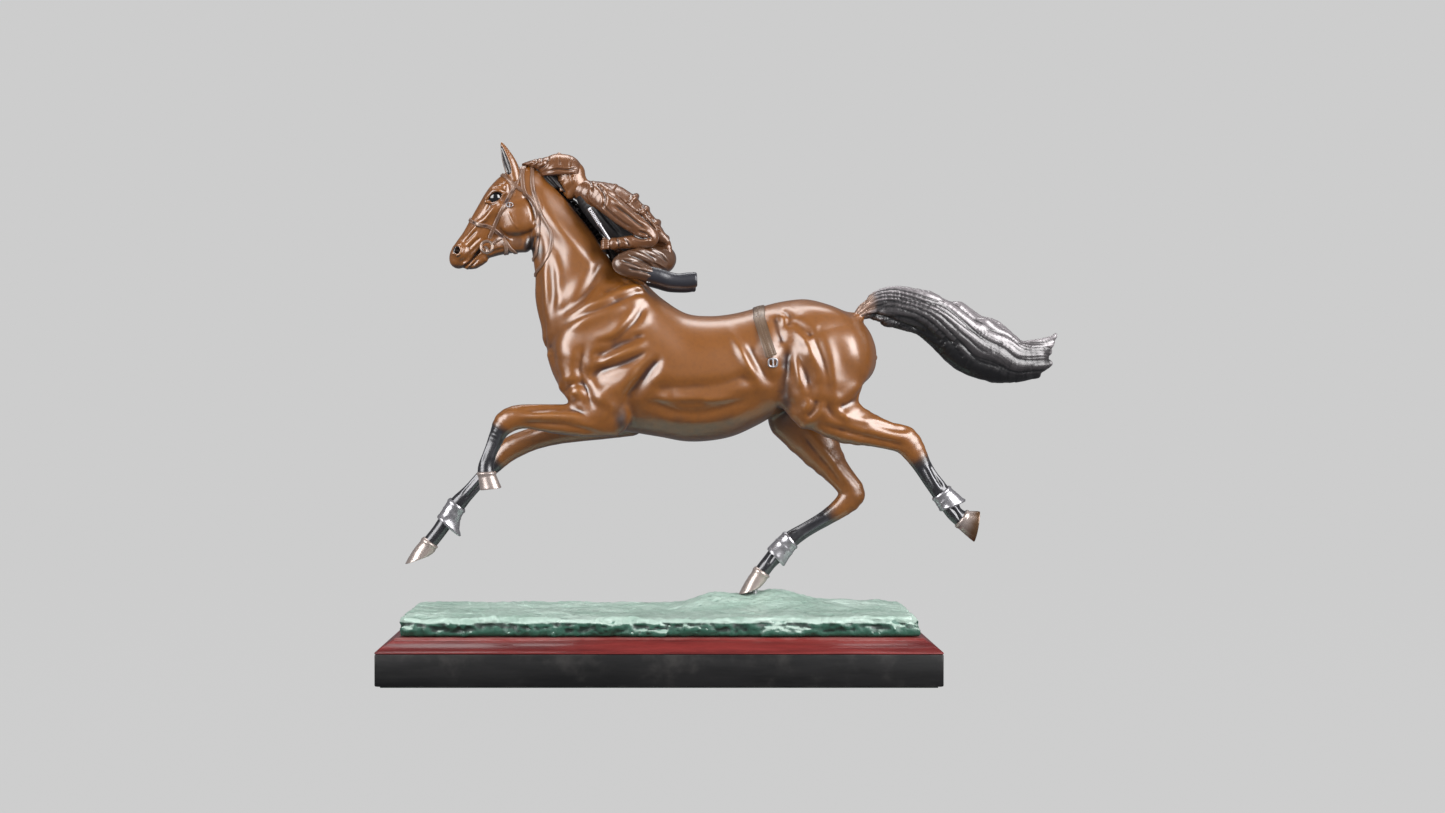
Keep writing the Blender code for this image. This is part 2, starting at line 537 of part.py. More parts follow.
def add_body():
    """Trunk with shoulders and thighs, and the stumps that the legs join, cast hollow round a core."""
    bm = bmesh.new()
    loft(bm, TRUNK)
    loft(bm, [(-40, 0, 285, 44, 30), *NECK[1:4]])
    for side in (LEFT, RIGHT):
        ball(bm, (-46, side * 24, 280), (50, 15, 24), tilt=52)
        ball(bm, (-72, side * 19, 248), (15, 15, 19))
        ball(bm, (-38, side * 25, 238), (34, 14, 20), tilt=62)
        ball(bm, (138, side * 22, 258), (42, 21, 44))
        ball(bm, (112, side * 24, 232), (16, 13, 24), tilt=-20)
    for rows, root, _ in LEGS.values():
        loft(bm, rows[:root + 2])
    loft(bm, [(148, 0, 286, 10, 10), (158, 0, 292, 7, 7), (166, 0, 297, 4.5, 4.5), (173, 0, 302, 4.5, 4.5)])
    body = add_object("body_casting", bm, "bay_bronze")
    blend_forms(body, 4.0, 0.1)

    core = cutter_from("body_core", loft, [(x, y, z, deep - WALL - 3, wide - WALL) for x, y, z, deep, wide in TRUNK[2:-2]],
                       sides=10, steps=1)
    vent = cutter_from("body_vent", rod, (30, 0, 180), (30, 0, 215), VENT_RADIUS, 8)
    cut(body, core, vent, half_space("body_neck_cut", NECK_ROOT, shift=-GAP / 2),
        half_space("body_tail_cut", TAIL_ROOT, reach=24.0, shift=-GAP / 2, width=34.0))
    for name in LEGS:
        cut(body, half_space(f"body_{name}_cut", leg_root(name), reach=26.0, shift=-GAP / 2, width=40.0),
            cutter_from(f"{name}_bore", dowel, leg_root(name), GAP))
    cut(body, cutter_from("neck_root_bore", dowel, NECK_ROOT, GAP))
    return body


def add_neck_and_head():
    bm = bmesh.new()
    loft(bm, NECK)
    neck = add_object("neck_casting", bm, "bay_bronze")
    blend_forms(neck, 3.0, 0.16)
    cut(neck, half_space("neck_root_cut", NECK_ROOT, shift=-GAP / 2, back=True),
        half_space("neck_poll_cut", POLL_CUT, shift=-GAP / 2), bpy.data.objects["neck_root_bore"],
        cutter_from("mane_seat", loft, MANE, 8, 2, GAP))
    bm = bmesh.new()
    loft(bm, MANE, 8, 2)
    add_object("mane", bm, "dark_bronze")

    bm = bmesh.new()
    loft(bm, SKULL)
    for side in (LEFT, RIGHT):
        ball(bm, (-116, side * 6.5, 376.5), (14.5, 9, 17), tilt=-10)
    ball(bm, (-134, 0, 358), (24, 8, 9), tilt=10)
    ball(bm, (-156, 0, 342), (6, 6, 5))
    head = add_object("head_casting", bm, "bay_bronze")
    blend_forms(head, 2.5, 0.22)
    cut(head, half_space("head_poll_cut", POLL_CUT, shift=-GAP / 2, back=True))
    for side, name in ((LEFT, "left_ear"), (RIGHT, "right_ear")):
        bm = bmesh.new()
        loft(bm, on_side(EAR, side), 8, 2)
        add_object(name, bm, "bay_bronze")
        cut(head, cutter_from(name + "_seat", loft, on_side(EAR, side)[:3], 8, 2, GAP))


def add_tail():
    bm = bmesh.new()
    rings = loft_rings(TAIL, 12, 2)
    middle, facing = plane_of(rings, 0)
    rings[0] = [p + Vector(TAIL_ROOT[1]).normalized() * GAP for p in rings[0]]
    skin_rings(bm, rings)
    tail = add_object("tail_casting", bm, "dark_bronze")
    cut(tail, half_space("tail_root_cut", TAIL_ROOT, reach=30.0, shift=-GAP / 2, back=True))


def add_leg(name):
    """The upper leg, the dark lower leg and the hoof, each starting a gap below the one before."""
    rings = leg_rings(name)
    _, root, split = LEGS[name]
    first, last = root * LEG_STEPS, split * LEG_STEPS
    root_plane = leg_root(name)

    def moved(index, distance):
        _, facing = plane_of(rings, index)
        return [p + facing * distance for p in rings[index]]

    bm = bmesh.new()
    skin_rings(bm, [moved(first, GAP / 2), *rings[first + 1:last], moved(last, -GAP / 2)])
    cut(add_object(name, bm, "bay_bronze"), bpy.data.objects[name + "_bore"])
    lower = name.replace("leg", "cannon").replace("foreca", "fore_ca").replace("__", "_")
    bm = bmesh.new()
    skin_rings(bm, [moved(last, GAP / 2), *rings[last + 1:]])
    add_object(lower, bm, "dark_bronze")

    sole_at, facing, half_long, half_wide = HOOVES[name]
    end_middle, end_facing = plane_of(rings, len(rings) - 1)
    down = Vector(facing).normalized()
    bm = bmesh.new()
    hoof_rings = []
    for share in (0.0, 0.5, 1.0):
        normal = end_facing.lerp(down, share).normalized()
        forward = Vector((0, 1, 0)).cross(normal)
        middle = (end_middle + end_facing * GAP).lerp(Vector(sole_at), share)
        deep, wide = (a + (b - a) * share for a, b in (
            ((rings[-1][0] - end_middle).length + 0.6, half_long), ((rings[-1][2] - end_middle).length + 0.8, half_wide)))
        hoof_rings.append([middle + forward * deep * math.cos(a) + Vector((0, 1, 0)) * wide * math.sin(a)
                           for a in (2 * math.pi * k / 12 for k in range(12))])
    skin_rings(bm, hoof_rings)
    hoof = add_object(name.replace("foreleg", "fore_hoof").replace("hind_leg", "hind_hoof"), bm, "horn_patina")
    return hoof_rings, hoof


def add_joint_boot(name):
    """A thin sleeve over a fetlock, flared at its lower end."""
    leg, first, last, flare = JOINT_BOOTS[name]
    steps = 6
    inner = loft_rings(LEGS[leg][0], 12, steps, GAP + 0.15)[round(first * steps):round(last * steps) + 1:2]
    outer = []
    for i, ring in enumerate(inner):
        share = i / (len(inner) - 1)
        middle = sum(ring, Vector()) / len(ring)
        grow = BOOT_WALL + flare * share**3 * 0.5
        outer.append([p + (p - middle).normalized() * grow for p in ring])
    bm = bmesh.new()
    skin_loop(bm, [*inner, *outer[::-1]])
    add_object(name, bm, "pewter_patina")


# ---- tack -------------------------------------------------------------------------------------------

def add_tack():
    head, both = Skin("head_casting"), Skin("head_casting", "neck_casting")
    lift = GAP + 0.2 + STRAP_THICK / 2
    for name, path, skin in (("crownpiece", CROWNPIECE, both), ("browband", BROWBAND, head),
                             ("throatlatch", THROATLATCH, both), ("neck_strap", NECK_STRAP, both),
                             ("noseband", NOSEBAND, head), ("curb_strap", CURB_STRAP, head)):
        bm = bmesh.new()
        if name in ("browband", "curb_strap"):
            laid = laid_path(skin, path[::-1], lift, True)
            strap(bm, laid, STRAP_WIDTH - (0.6 if name == "curb_strap" else 0), STRAP_THICK)
        elif name == "crownpiece":
            strap(bm, laid_path(skin, path, lift, True), STRAP_WIDTH, STRAP_THICK)
        else:
            laid = laid_path(skin, path, lift, True)[:-1]
            strap(bm, laid, STRAP_WIDTH, STRAP_THICK, closed=True)
        add_object(name, bm, "strap_bronze")
    cheek = laid_path(head, CHEEKPIECE, lift + STRAP_THICK + GAP, False)
    for side, path in (("left", cheek), ("right", flipped(cheek))):
        bm = bmesh.new()
        strap(bm, path, STRAP_WIDTH, STRAP_THICK)
        add_object(f"{side}_cheekpiece", bm, "strap_bronze")

    x, y, z = BIT_AT
    for side, name in ((-1, "left_bit_ring"), (1, "right_bit_ring")):
        bm = bmesh.new()
        loops = []
        for k in range(16):
            a = 2 * math.pi * k / 16
            middle = Vector((x + BIT_RING_RADIUS * math.cos(a), -side * y, z + BIT_RING_RADIUS * math.sin(a)))
            out = Vector((math.cos(a), 0, math.sin(a)))
            loops.append([middle + (out * math.cos(b) + Vector((0, 1, 0)) * math.sin(b)) * BIT_WIRE
                          for b in (2 * math.pi * m / 6 for m in range(6))])
        skin_loop(bm, loops)
        add_object(name, bm, "pewter_patina")

    back = Skin("body_casting")
    laid = laid_path(back, BACK_STRAP, lift, True)
    bm = bmesh.new()
    strap(bm, laid, BACK_STRAP_WIDTH, STRAP_THICK)
    add_object("back_strap", bm, "strap_bronze")
    place, normal = back.nearest((BUCKLE_AT[0], -60, BUCKLE_AT[1]))
    middle = place + normal * (lift + 0.3)
    down = (Vector((0.2, 0, -1)) - normal * normal.dot(Vector((0.2, 0, -1)))).normalized()
    bm = bmesh.new()
    strap(bm, [(middle - down * BUCKLE_SIZE[2] / 2, normal), (middle + down * BUCKLE_SIZE[2] / 2, normal)],
          BUCKLE_SIZE[0], BUCKLE_SIZE[1])
    add_object("back_strap_buckle", bm, "pewter_patina")


# ---- jockey -----------------------------------------------------------------------------------------

def add_jockey(body, neck):
    sleeve_seats, jacket_seats = [], []
    bm = bmesh.new()
    loft(bm, JACKET, 12, 2)
    jacket = add_object("jacket", bm, "jockey_bronze")
    waist_cut = half_space("waist_cut", WAIST, reach=60.0, shift=-GAP / 2)
    cut(jacket, waist_cut)

    def head_form(bm, grow=0.0):
        ball(bm, FACE_CENTRE, FACE_RADII, FACE_TILT, 10, 14, grow)
    bm = bmesh.new()
    head_form(bm)
    face = add_object("jockey_head", bm, "jockey_bronze")
    brim = (0, 0, CAP_LINE), (0, 0, 1)
    cut(face, half_space("face_cap_cut", brim, reach=60.0, shift=-GAP / 2, width=500.0))
    cut(jacket, cutter_from("head_seat", head_form, GAP))
    bm = bmesh.new()
    ball(bm, CAP_CENTRE, CAP_RADII, 0, 10, 16)
    loft(bm, PEAK, 12, 2)
    cap = add_object("cap", bm, "jockey_bronze")
    blend_forms(cap, 1.8, 0.16)
    cut(cap, half_space("cap_brim_cut", brim, reach=60.0, shift=-GAP / 2, width=500.0, back=True))

    def breeches_form(bm, grow=0.0):
        ball(bm, (-1, 0, 347), (11, 12, 11), 0, 8, 12, grow)
        for side in (LEFT, RIGHT):
            loft(bm, on_side(THIGH, side), 10, 2, grow)
            loft(bm, on_side(SHIN, side), 10, 2, grow)
    bm = bmesh.new()
    breeches_form(bm)
    breeches = add_object("breeches", bm, "jockey_bronze")
    blend_forms(breeches, 2.2, 0.15)
    bm = bmesh.new()
    breeches_form(bm, GAP)
    seat = add_object("breeches_seat", bm)
    blend_forms(seat, 2.2, 0.15)
    cut(breeches, half_space("breeches_waist_cut", WAIST, reach=60.0, shift=-GAP / 2, back=True))
    cut(body, seat)
    cut(neck, seat)
    for side, prefix in ((LEFT, "left"), (RIGHT, "right")):
        bm = bmesh.new()
        loft(bm, on_side(SLEEVE, side), 10, 2)
        sleeve = add_object(f"{prefix}_sleeve", bm, "jockey_bronze")
        sleeve_seat = cutter_from(f"{prefix}_sleeve_seat", loft, on_side(SLEEVE, side), 10, 2, GAP)
        cut(jacket, sleeve_seat)
        cut(breeches, sleeve_seat)
        centre = (HAND_AT[0], side * HAND_AT[1], HAND_AT[2])
        bm = bmesh.new()
        ball(bm, centre, HAND_RADII, 0, 8, 10)
        hand = add_object(f"{prefix}_hand", bm, "jockey_bronze")
        if side == LEFT:
            whip_bore = cutter_from("whip_bore", rod, WHIP_ENDS[0], WHIP_ENDS[1], WHIP_RADIUS + GAP, 8)
            cut(hand, whip_bore)
        bm = bmesh.new()
        loft(bm, on_side(RIDING_BOOT, side), 10, 2)
        add_object(f"{prefix}_riding_boot", bm, "dark_bronze")
        cut(breeches, cutter_from(f"{prefix}_boot_seat", loft, on_side(RIDING_BOOT, side), 10, 2, GAP))
    bm = bmesh.new()
    rod(bm, *WHIP_ENDS, WHIP_RADIUS, 8)
    add_object("whip", bm, "pewter_patina")
    bm = bmesh.new()
    rod(bm, *PIN_ENDS, PIN_RADIUS, 10)
    add_object("jockey_pin", bm, "steel")
    reach = (Vector(PIN_ENDS[0]) - Vector(PIN_ENDS[1])).normalized() * GAP
    pin_bore = cutter_from("pin_bore", rod, Vector(PIN_ENDS[0]) + reach, Vector(PIN_ENDS[1]) - reach,
                           PIN_RADIUS + GAP, 10)
    cut(breeches, pin_bore)
    cut(body, pin_bore)


def build():
    for obj in list(bpy.data.objects):
        bpy.data.objects.remove(obj)
    add_plinth()
    ground = add_ground()
    add_base_hardware()
    body = add_body()
    add_neck_and_head()
    add_tail()
    for name in LEGS:
        rings, hoof = add_leg(name)
        if name == "right_hind_leg":
            bm = bmesh.new()
            grown = []
            for ring in rings:
                middle = sum(ring, Vector()) / len(ring)
                grown.append([p + (p - middle).normalized() * GAP for p in ring])
            _, facing = plane_of(grown, 2)
            grown[2] = [p + facing * GAP for p in grown[2]]
            skin_rings(bm, grown)
            cut(ground, add_object("hoof_seat", bm))
            cut(hoof, cutter_from("hoof_bore", rod, (STUD_X, STUD_Y, 40), (STUD_X, STUD_Y, STUD_TOP + GAP),
                                  STUD_RADIUS + GAP))
    for name in JOINT_BOOTS:
        add_joint_boot(name)
    for name, plane in {"neck": NECK_ROOT, **{name: leg_root(name) for name in LEGS}}.items():
        bm = bmesh.new()
        dowel(bm, plane)
        add_object(f"{name}_dowel", bm, "steel")
    add_jockey(body, bpy.data.objects["neck_casting"])
    add_tack()


build()
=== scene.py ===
import math

import bmesh
import bpy
import numpy as np
from mathutils import Matrix, Vector
from mathutils.bvhtree import BVHTree


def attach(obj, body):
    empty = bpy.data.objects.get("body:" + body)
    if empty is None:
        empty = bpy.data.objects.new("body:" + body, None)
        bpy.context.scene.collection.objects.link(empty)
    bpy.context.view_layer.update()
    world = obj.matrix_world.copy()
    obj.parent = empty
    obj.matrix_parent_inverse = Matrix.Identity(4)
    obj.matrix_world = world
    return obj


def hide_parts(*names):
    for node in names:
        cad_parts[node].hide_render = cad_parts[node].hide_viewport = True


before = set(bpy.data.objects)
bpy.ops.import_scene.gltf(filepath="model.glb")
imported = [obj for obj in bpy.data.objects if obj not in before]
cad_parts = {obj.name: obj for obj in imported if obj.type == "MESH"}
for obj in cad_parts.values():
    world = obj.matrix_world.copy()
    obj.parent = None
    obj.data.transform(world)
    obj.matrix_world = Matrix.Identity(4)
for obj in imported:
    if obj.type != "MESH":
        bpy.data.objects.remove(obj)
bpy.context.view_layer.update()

mm = 0.001     # the forms below are drawn in millimetres
left, right = -1.0, 1.0     # the horse's sides, as the sign of y
outOfReach = 40.0           # a distance that no skin is looked for beyond


# rows of (x, y, z, half depth seen from the side, half width)
def smoothRows(rows, steps):
    # Catmull-Rom rows through the rows given
    rows = np.array(rows, float)
    ends = np.vstack([rows[:1], rows, rows[-1:]])
    made = []
    for a, b, c, d in zip(ends, ends[1:], ends[2:], ends[3:]):
        for t in np.arange(steps) / steps:
            made.append(0.5 * (2 * b + (c - a) * t + (2 * a - 5 * b + 4 * c - d) * t**2
                               + (3 * b - a - 3 * c + d) * t**3))
    return np.array([*made, rows[-1]])


def mirrored(rows, side):
    return [(row[0], side * abs(row[1]), *row[2:]) for row in rows]


def circle(count):
    return np.linspace(0, 2 * math.pi, count, endpoint=False)


def nodeOf(name):
    # leftForeHoof stands in for the node left_fore_hoof
    return "".join("_" + letter.lower() if letter.isupper() else letter for letter in name)


def chainDistance(points, rows, flat):
    # how far points are from the skin of a limb that follows the rows; flat squashes its two end caps
    best = np.full(len(points), outOfReach, np.float32)
    last = len(rows) - 2
    for i in range(last + 1):
        a, b = rows[i], rows[i + 1]
        way = (b - a)[:3]
        length = max(np.linalg.norm(way), 1e-6)
        way = (way / length).astype(np.float32)
        reach = length / 2 + max(a[3:].max(), b[3:].max()) + 14
        close = np.nonzero(((points - ((a + b)[:3] / 2).astype(np.float32))**2).sum(1) < reach**2)[0]
        rel = points[close] - a[:3].astype(np.float32)
        along = rel @ way
        share = np.clip(along / length, 0, 1)
        off = rel - (share * length)[:, None] * way
        over = np.zeros_like(along)
        if i == 0:
            over += np.minimum(along, 0)
        if i == last:
            over += np.maximum(along - length, 0)
        if i in (0, last):
            off += (over * (flat - 1))[:, None] * way
        deep = a[3] + share * (b[3] - a[3])
        ratio = deep / (a[4] + share * (b[4] - a[4]))
        side = off[:, 0]**2 + off[:, 2]**2
        q = np.sqrt(side + (off[:, 1] * ratio)**2) + 1e-6
        g = np.sqrt(side + (off[:, 1] * ratio**2)**2) + 1e-6
        best[close] = np.minimum(best[close], (q - deep) * q / g)
    return best


def loftDistance(points, rows, axis):
    # how far points are from a skin whose ellipses stand square to one straight axis in the side view
    along, deepWay = np.array((axis[0], 0, axis[1])), np.array((-axis[1], 0, axis[0]))
    t, s = rows[:, :3] @ along, rows[:, :3] @ deepWay
    order = np.argsort(t)
    t, s, rows = t[order], s[order], rows[order]
    at = points @ along
    here = np.clip(at, t[0], t[-1])
    deep, wide = np.interp(here, t, rows[:, 3]), np.interp(here, t, rows[:, 4])
    taper = 1 / np.sqrt(1 + np.interp(here, t, np.gradient(rows[:, 3], t).clip(-1.5, 1.5))**2)
    u, v = points @ deepWay - np.interp(here, t, s), points[:, 1] - np.interp(here, t, rows[:, 1])
    ratio = deep / wide
    q = np.sqrt(u**2 + (v * ratio)**2) + 1e-6
    g = np.sqrt(u**2 + (v * ratio**2)**2) + 1e-6
    side, past = (q - deep) * q / g * taper, np.abs(at - here)
    return np.where(past > 0, np.hypot(np.maximum(side + 1, 0), past) - 1, side).astype(np.float32)


def softMin(a, b, reach):
    h = np.clip(0.5 + 0.5 * (b - a) / reach, 0, 1)
    return b + (a - b) * h - reach * h * (1 - h)


class Form:
    # limbs that melt into one another, less what is carved out of them
    probe = 0.25     # how far out the slope is felt

    def __init__(self):
        self.parts, self.planes, self.ends = [], [], []

    def cut(self, point, facing, reach=0.6):
        # takes away what lies beyond a plane
        facing = np.array(facing, np.float32)
        self.planes.append((np.array(point, np.float32), facing / np.linalg.norm(facing), reach))
        return self

    def sink(self, point, facing, length=9.0, within=24.0, depth=0.8):
        # past a plane the skin slips under its neighbour's, and ends there
        facing = np.array(facing, np.float32)
        facing /= np.linalg.norm(facing)
        self.ends.append((np.array(point, np.float32), facing, length, within, depth))
        return self

    def add(self, rows, reach=1.0, steps=3, flat=1.0, carve=False, both=False):
        for side in (left, right) if both else (None,):
            placed = smoothRows(mirrored(rows, side) if both else rows, steps)
            self.parts.append((placed, reach, flat, carve))
        return self

    def loft(self, rows, axis, reach, steps=8):
        axis = np.array(axis, float)
        self.parts.append((smoothRows(rows, steps), reach, axis / np.linalg.norm(axis), False))
        return self

    def __call__(self, points):
        total = np.full(len(points), outOfReach, np.float32)
        for rows, reach, flat, carve in self.parts:
            margin = rows[:, 3:].max() + reach + 3
            near = np.all((points > rows[:, :3].min(0) - margin) & (points < rows[:, :3].max(0) + margin), axis=1)
            measure = loftDistance if isinstance(flat, np.ndarray) else chainDistance
            found = measure(points[near], rows, flat)
            if carve:
                total[near] = -softMin(-total[near], found, reach)
            else:
                total[near] = softMin(total[near], found, reach)
        for point, facing, length, within, depth in self.ends:
            near = ((points - point)**2).sum(1) < within**2
            past = (points[near] - point) @ facing
            t = np.clip(past / length, 0, 1)
            total[near] += depth * t * t * (3 - 2 * t) + 0.03 * np.maximum(past, 0)
            total[near] = np.maximum(total[near], past - length)
        for point, facing, reach in self.planes:
            total = -softMin(-total, (point - points) @ facing, reach)
        return total

    def slope(self, points):
        # distance and its direction of growth
        value, grow = np.zeros(len(points), np.float32), np.zeros_like(points)
        for corner in ((1, -1, -1), (-1, -1, 1), (-1, 1, -1), (1, 1, 1)):
            corner = np.array(corner, np.float32)
            found = self(points + corner * self.probe)
            value += found / 4
            grow += found[:, None] * corner / (4 * self.probe)
        return value, grow

    def box(self):
        spans = [(rows[:, :3], rows[:, 3:].max(1)[:, None]) for rows, *_, carve in self.parts if not carve]
        low = np.min([(middles - girth).min(0) for middles, girth in spans], axis=0)
        high = np.max([(middles + girth).max(0) for middles, girth in spans], axis=0)
        return low - 2, high + 2


def surfaceNet(values, low, step):
    # one vertex in each grid cell that the skin passes through, and a quad round each crossed edge
    inside = values < 0
    cells = tuple(n - 1 for n in values.shape)
    total, count = np.zeros((*cells, 3), np.float32), np.zeros(cells, np.float32)

    def corner(array, offset):
        return array[tuple(slice(o, o + n) for o, n in zip(offset, cells))]

    for axis in range(3):
        others = [k for k in range(3) if k != axis]
        for pair in ((0, 0), (0, 1), (1, 0), (1, 1)):
            start = [0, 0, 0]
            start[others[0]], start[others[1]] = pair
            end = list(start)
            end[axis] = 1
            a, b = corner(values, start), corner(values, end)
            crossed = (a < 0) != (b < 0)
            total[..., axis] += np.where(crossed, a / np.where(crossed, a - b, 1), 0)
            total[..., others[0]] += pair[0] * crossed
            total[..., others[1]] += pair[1] * crossed
            count += crossed
    active = count > 0
    number = np.full(cells, -1, np.int64)
    number[active] = np.arange(active.sum())
    points = low + (np.argwhere(active) + total[active] / count[active][:, None]) * step
    quads = []
    for axis in range(3):
        b, c = (axis + 1) % 3, (axis + 2) % 3
        a0 = np.take(inside, range(values.shape[axis] - 1), axis)
        a1 = np.take(inside, range(1, values.shape[axis]), axis)
        spots = np.argwhere(a0 != a1)
        spots = spots[(spots[:, b] > 0) & (spots[:, c] > 0)
                      & (spots[:, b] < values.shape[b] - 1) & (spots[:, c] < values.shape[c] - 1)]
        outward = a0[tuple(spots.T)]
        ring = []
        for db, dc in ((-1, -1), (0, -1), (0, 0), (-1, 0)):
            cell = spots.copy()
            cell[:, b] += db
            cell[:, c] += dc
            ring.append(number[tuple(cell.T)])
        ring = np.array(ring).T
        ring[~outward] = ring[~outward][:, ::-1]
        quads.append(ring)
    return points.astype(np.float32), np.vstack(quads)


def neighbourMean(values, quads):
    ends = np.concatenate([quads, np.roll(quads, -1, 1)], 1).reshape(-1, 2, 4).transpose(0, 2, 1).reshape(-1, 2)
    ends = np.vstack([ends, ends[:, ::-1]])
    count = np.bincount(ends[:, 0], minlength=len(values)).clip(1)
    flat = values.reshape(len(values), -1)
    mean = np.stack([np.bincount(ends[:, 0], weights=flat[ends[:, 1], k], minlength=len(values))
                     for k in range(flat.shape[1])], 1) / count[:, None]
    return mean.reshape(values.shape).astype(np.float32)


def splitQuads(points, quads):
    # each quad becomes four
    pairs = np.sort(np.stack([quads, np.roll(quads, -1, 1)], 2).reshape(-1, 2), 1)
    edges, which = np.unique(pairs, axis=0, return_inverse=True)
    which = which.reshape(-1, 4) + len(points)
    middles = points[quads].mean(1)
    centre = np.arange(len(quads)) + len(points) + len(edges)
    made = np.vstack([points, points[edges].mean(1), middles]).astype(np.float32)
    return made, np.vstack([np.stack([quads[:, k], which[:, k], centre, which[:, k - 1]], 1) for k in range(4)])


def pointNormals(points, quads):
    a, b, c, d = (points[quads[:, k]] for k in range(4))
    face = np.cross(c - a, d - b)
    total = np.stack([np.bincount(quads.T.ravel(), weights=np.tile(face[:, k], 4), minlength=len(points))
                      for k in range(3)], 1)
    return (total / np.linalg.norm(total, axis=1).clip(1e-9)[:, None]).astype(np.float32)


def skinOf(form, step, levels=1):
    low, high = form.box()
    axes = [np.arange(a, b + step, step, dtype=np.float32) for a, b in zip(low, high)]
    grid = np.stack(np.meshgrid(*axes, indexing="ij"), -1)
    values = form(grid.reshape(-1, 3)).reshape(grid.shape[:3])
    points, quads = surfaceNet(values, low, step)
    for level in range(levels + 1):
        if level:
            points, quads = splitQuads(points, quads)
        for _ in range(2):
            points = 0.4 * points + 0.6 * neighbourMean(points, quads)
            value, grow = form.slope(points)
            shift = value / np.maximum((grow**2).sum(1), 0.2)
            points = points - np.clip(shift, -step, step)[:, None] * grow
    return points, quads


def lineDistance(spots, line):
    # distance to a line in the side view and the share of its length there
    best, share = np.full(len(spots), 1e9), np.zeros(len(spots))
    lengths = np.linalg.norm(np.diff(line, axis=0), axis=1)
    start, whole = 0.0, lengths.sum()
    for a, b, length in zip(line, line[1:], lengths):
        way = (b - a) / max(length, 1e-6)
        along = np.clip((spots - a) @ way, 0, length)
        far = ((spots - a - along[:, None] * way)**2).sum(1)
        closer = far < best
        best = np.where(closer, far, best)
        share = np.where(closer, (start + along) / whole, share)
        start += length
    return np.sqrt(best), share


def chase(points, quads, lines=(), swells=(), facing=0.15, spread=1.0, strength=1.0):
    # lines: (side, width, height, points). A negative height cuts a groove with raised lips, a positive one a ridge.
    # swells: (side, x, z, half length, half width, tilt in degrees, height).
    # side is left, right or 0 for both
    normals = pointNormals(points, quads)
    outward = np.clip((np.abs(normals[:, 1]) - facing) / 0.3, 0, 1)
    height = np.zeros(len(points), np.float32)
    for side, x, z, long, short, tilt, amount in swells:
        reach = 2.2 * max(long, short)
        near = (np.abs(points[:, 0] - x) < reach) & (np.abs(points[:, 2] - z) < reach)
        near &= (side == 0) | (points[:, 1] * side > 0)
        turn = math.radians(tilt)
        dx, dz = points[near, 0] - x, points[near, 2] - z
        u = (dx * math.cos(turn) + dz * math.sin(turn)) / long
        v = (dz * math.cos(turn) - dx * math.sin(turn)) / short
        height[near] += amount * np.exp(-(u**2 + v**2) * 1.4) * outward[near]
    for side, width, amount, line in lines:
        width, amount = width * spread, amount * strength
        line = smoothRows(line, 4)
        reach = 4 * width
        near = np.all((points[:, [0, 2]] > line.min(0) - reach) & (points[:, [0, 2]] < line.max(0) + reach), axis=1)
        near &= ((side == 0) | (points[:, 1] * side > 0)) & (outward > 0)
        far, share = lineDistance(points[near][:, [0, 2]], line)
        fade = np.clip(np.minimum(share, 1 - share) / 0.22, 0, 1)
        fade = fade * fade * (3 - 2 * fade) * outward[near]
        if amount < 0:
            made = amount * np.exp(-(far / width)**2) - 0.45 * amount * np.exp(-((far - 2.1 * width) / (1.2 * width))**2)
        else:
            made = amount * np.exp(-(far / width)**2)
        height[near] += made * fade
    return points + normals * height[:, None]


def hollowness(points, quads, rounds):
    # positive in the hollows and negative on the ridges, in millimetres
    normals = pointNormals(points, quads)
    soft = points
    for _ in range(rounds):
        soft = neighbourMean(soft, quads)
    return ((soft - points) * normals).sum(1)


def waves(points, size, seed):
    # soft noise between -1 and 1, the same each run
    random = np.random.default_rng(seed)
    total = np.zeros(len(points))
    for _ in range(7):
        way = random.normal(size=3)
        way *= random.uniform(0.6, 1.5) * 2 * math.pi / (size * np.linalg.norm(way))
        total += np.sin(points @ way + random.uniform(0, 6.3) + 1.3 * np.sin(points @ np.roll(way, 1)))
    return (total / 3.2).astype(np.float32)


def makeObject(name, points, faces, material, smooth=True, attributes=None):
    mesh = bpy.data.meshes.new(name)
    faces = np.asarray(faces)
    size = faces.shape[1]
    mesh.vertices.add(len(points))
    mesh.vertices.foreach_set("co", (np.asarray(points, np.float64) * mm).ravel())
    mesh.loops.add(faces.size)
    mesh.loops.foreach_set("vertex_index", faces.ravel().astype(np.int32))
    mesh.polygons.add(len(faces))
    mesh.polygons.foreach_set("loop_start", np.arange(0, faces.size, size, dtype=np.int32))
    mesh.update(calc_edges=True)
    for key, values in (attributes or {}).items():
        layer = mesh.attributes.new(key, "FLOAT", "POINT")
        layer.data.foreach_set("value", np.asarray(values, np.float32))
    if smooth:
        mesh.shade_smooth()
    mesh.materials.append(material)
    obj = bpy.data.objects.new(name, mesh)
    bpy.context.scene.collection.objects.link(obj)
    return obj


def settle(obj, nodes):
    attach(obj, "root")
    if nodes:
        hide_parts(*nodes)


def sculpt(name, form, step, finish, nodes=None, levels=1, lines=(), swells=(), facing=0.15, stain=None, work=None,
           spread=1.0, strength=1.0, shade=None, rounds=10):
    # a piece skinned from its form, chased and given what its finish reads; unless told, it replaces its namesake
    points, quads = skinOf(form, step, levels)
    points = chase(points, quads, lines, swells, facing, spread, strength)
    if work:
        points = work(points, quads)
    # a shade function, when given, adds painted highlight and painted shade to the hollows' measure
    attributes = {"hollow": hollowness(points, quads, rounds) + (shade(points) if shade else 0)}
    if stain:
        attributes["stain"] = stain(points, pointNormals(points, quads))
    settle(makeObject(name, points, quads, finish[0], attributes=attributes),
           (nodeOf(name),) if nodes is None else nodes)
    print(name, len(quads) * 2, "triangles")
    return points, quads


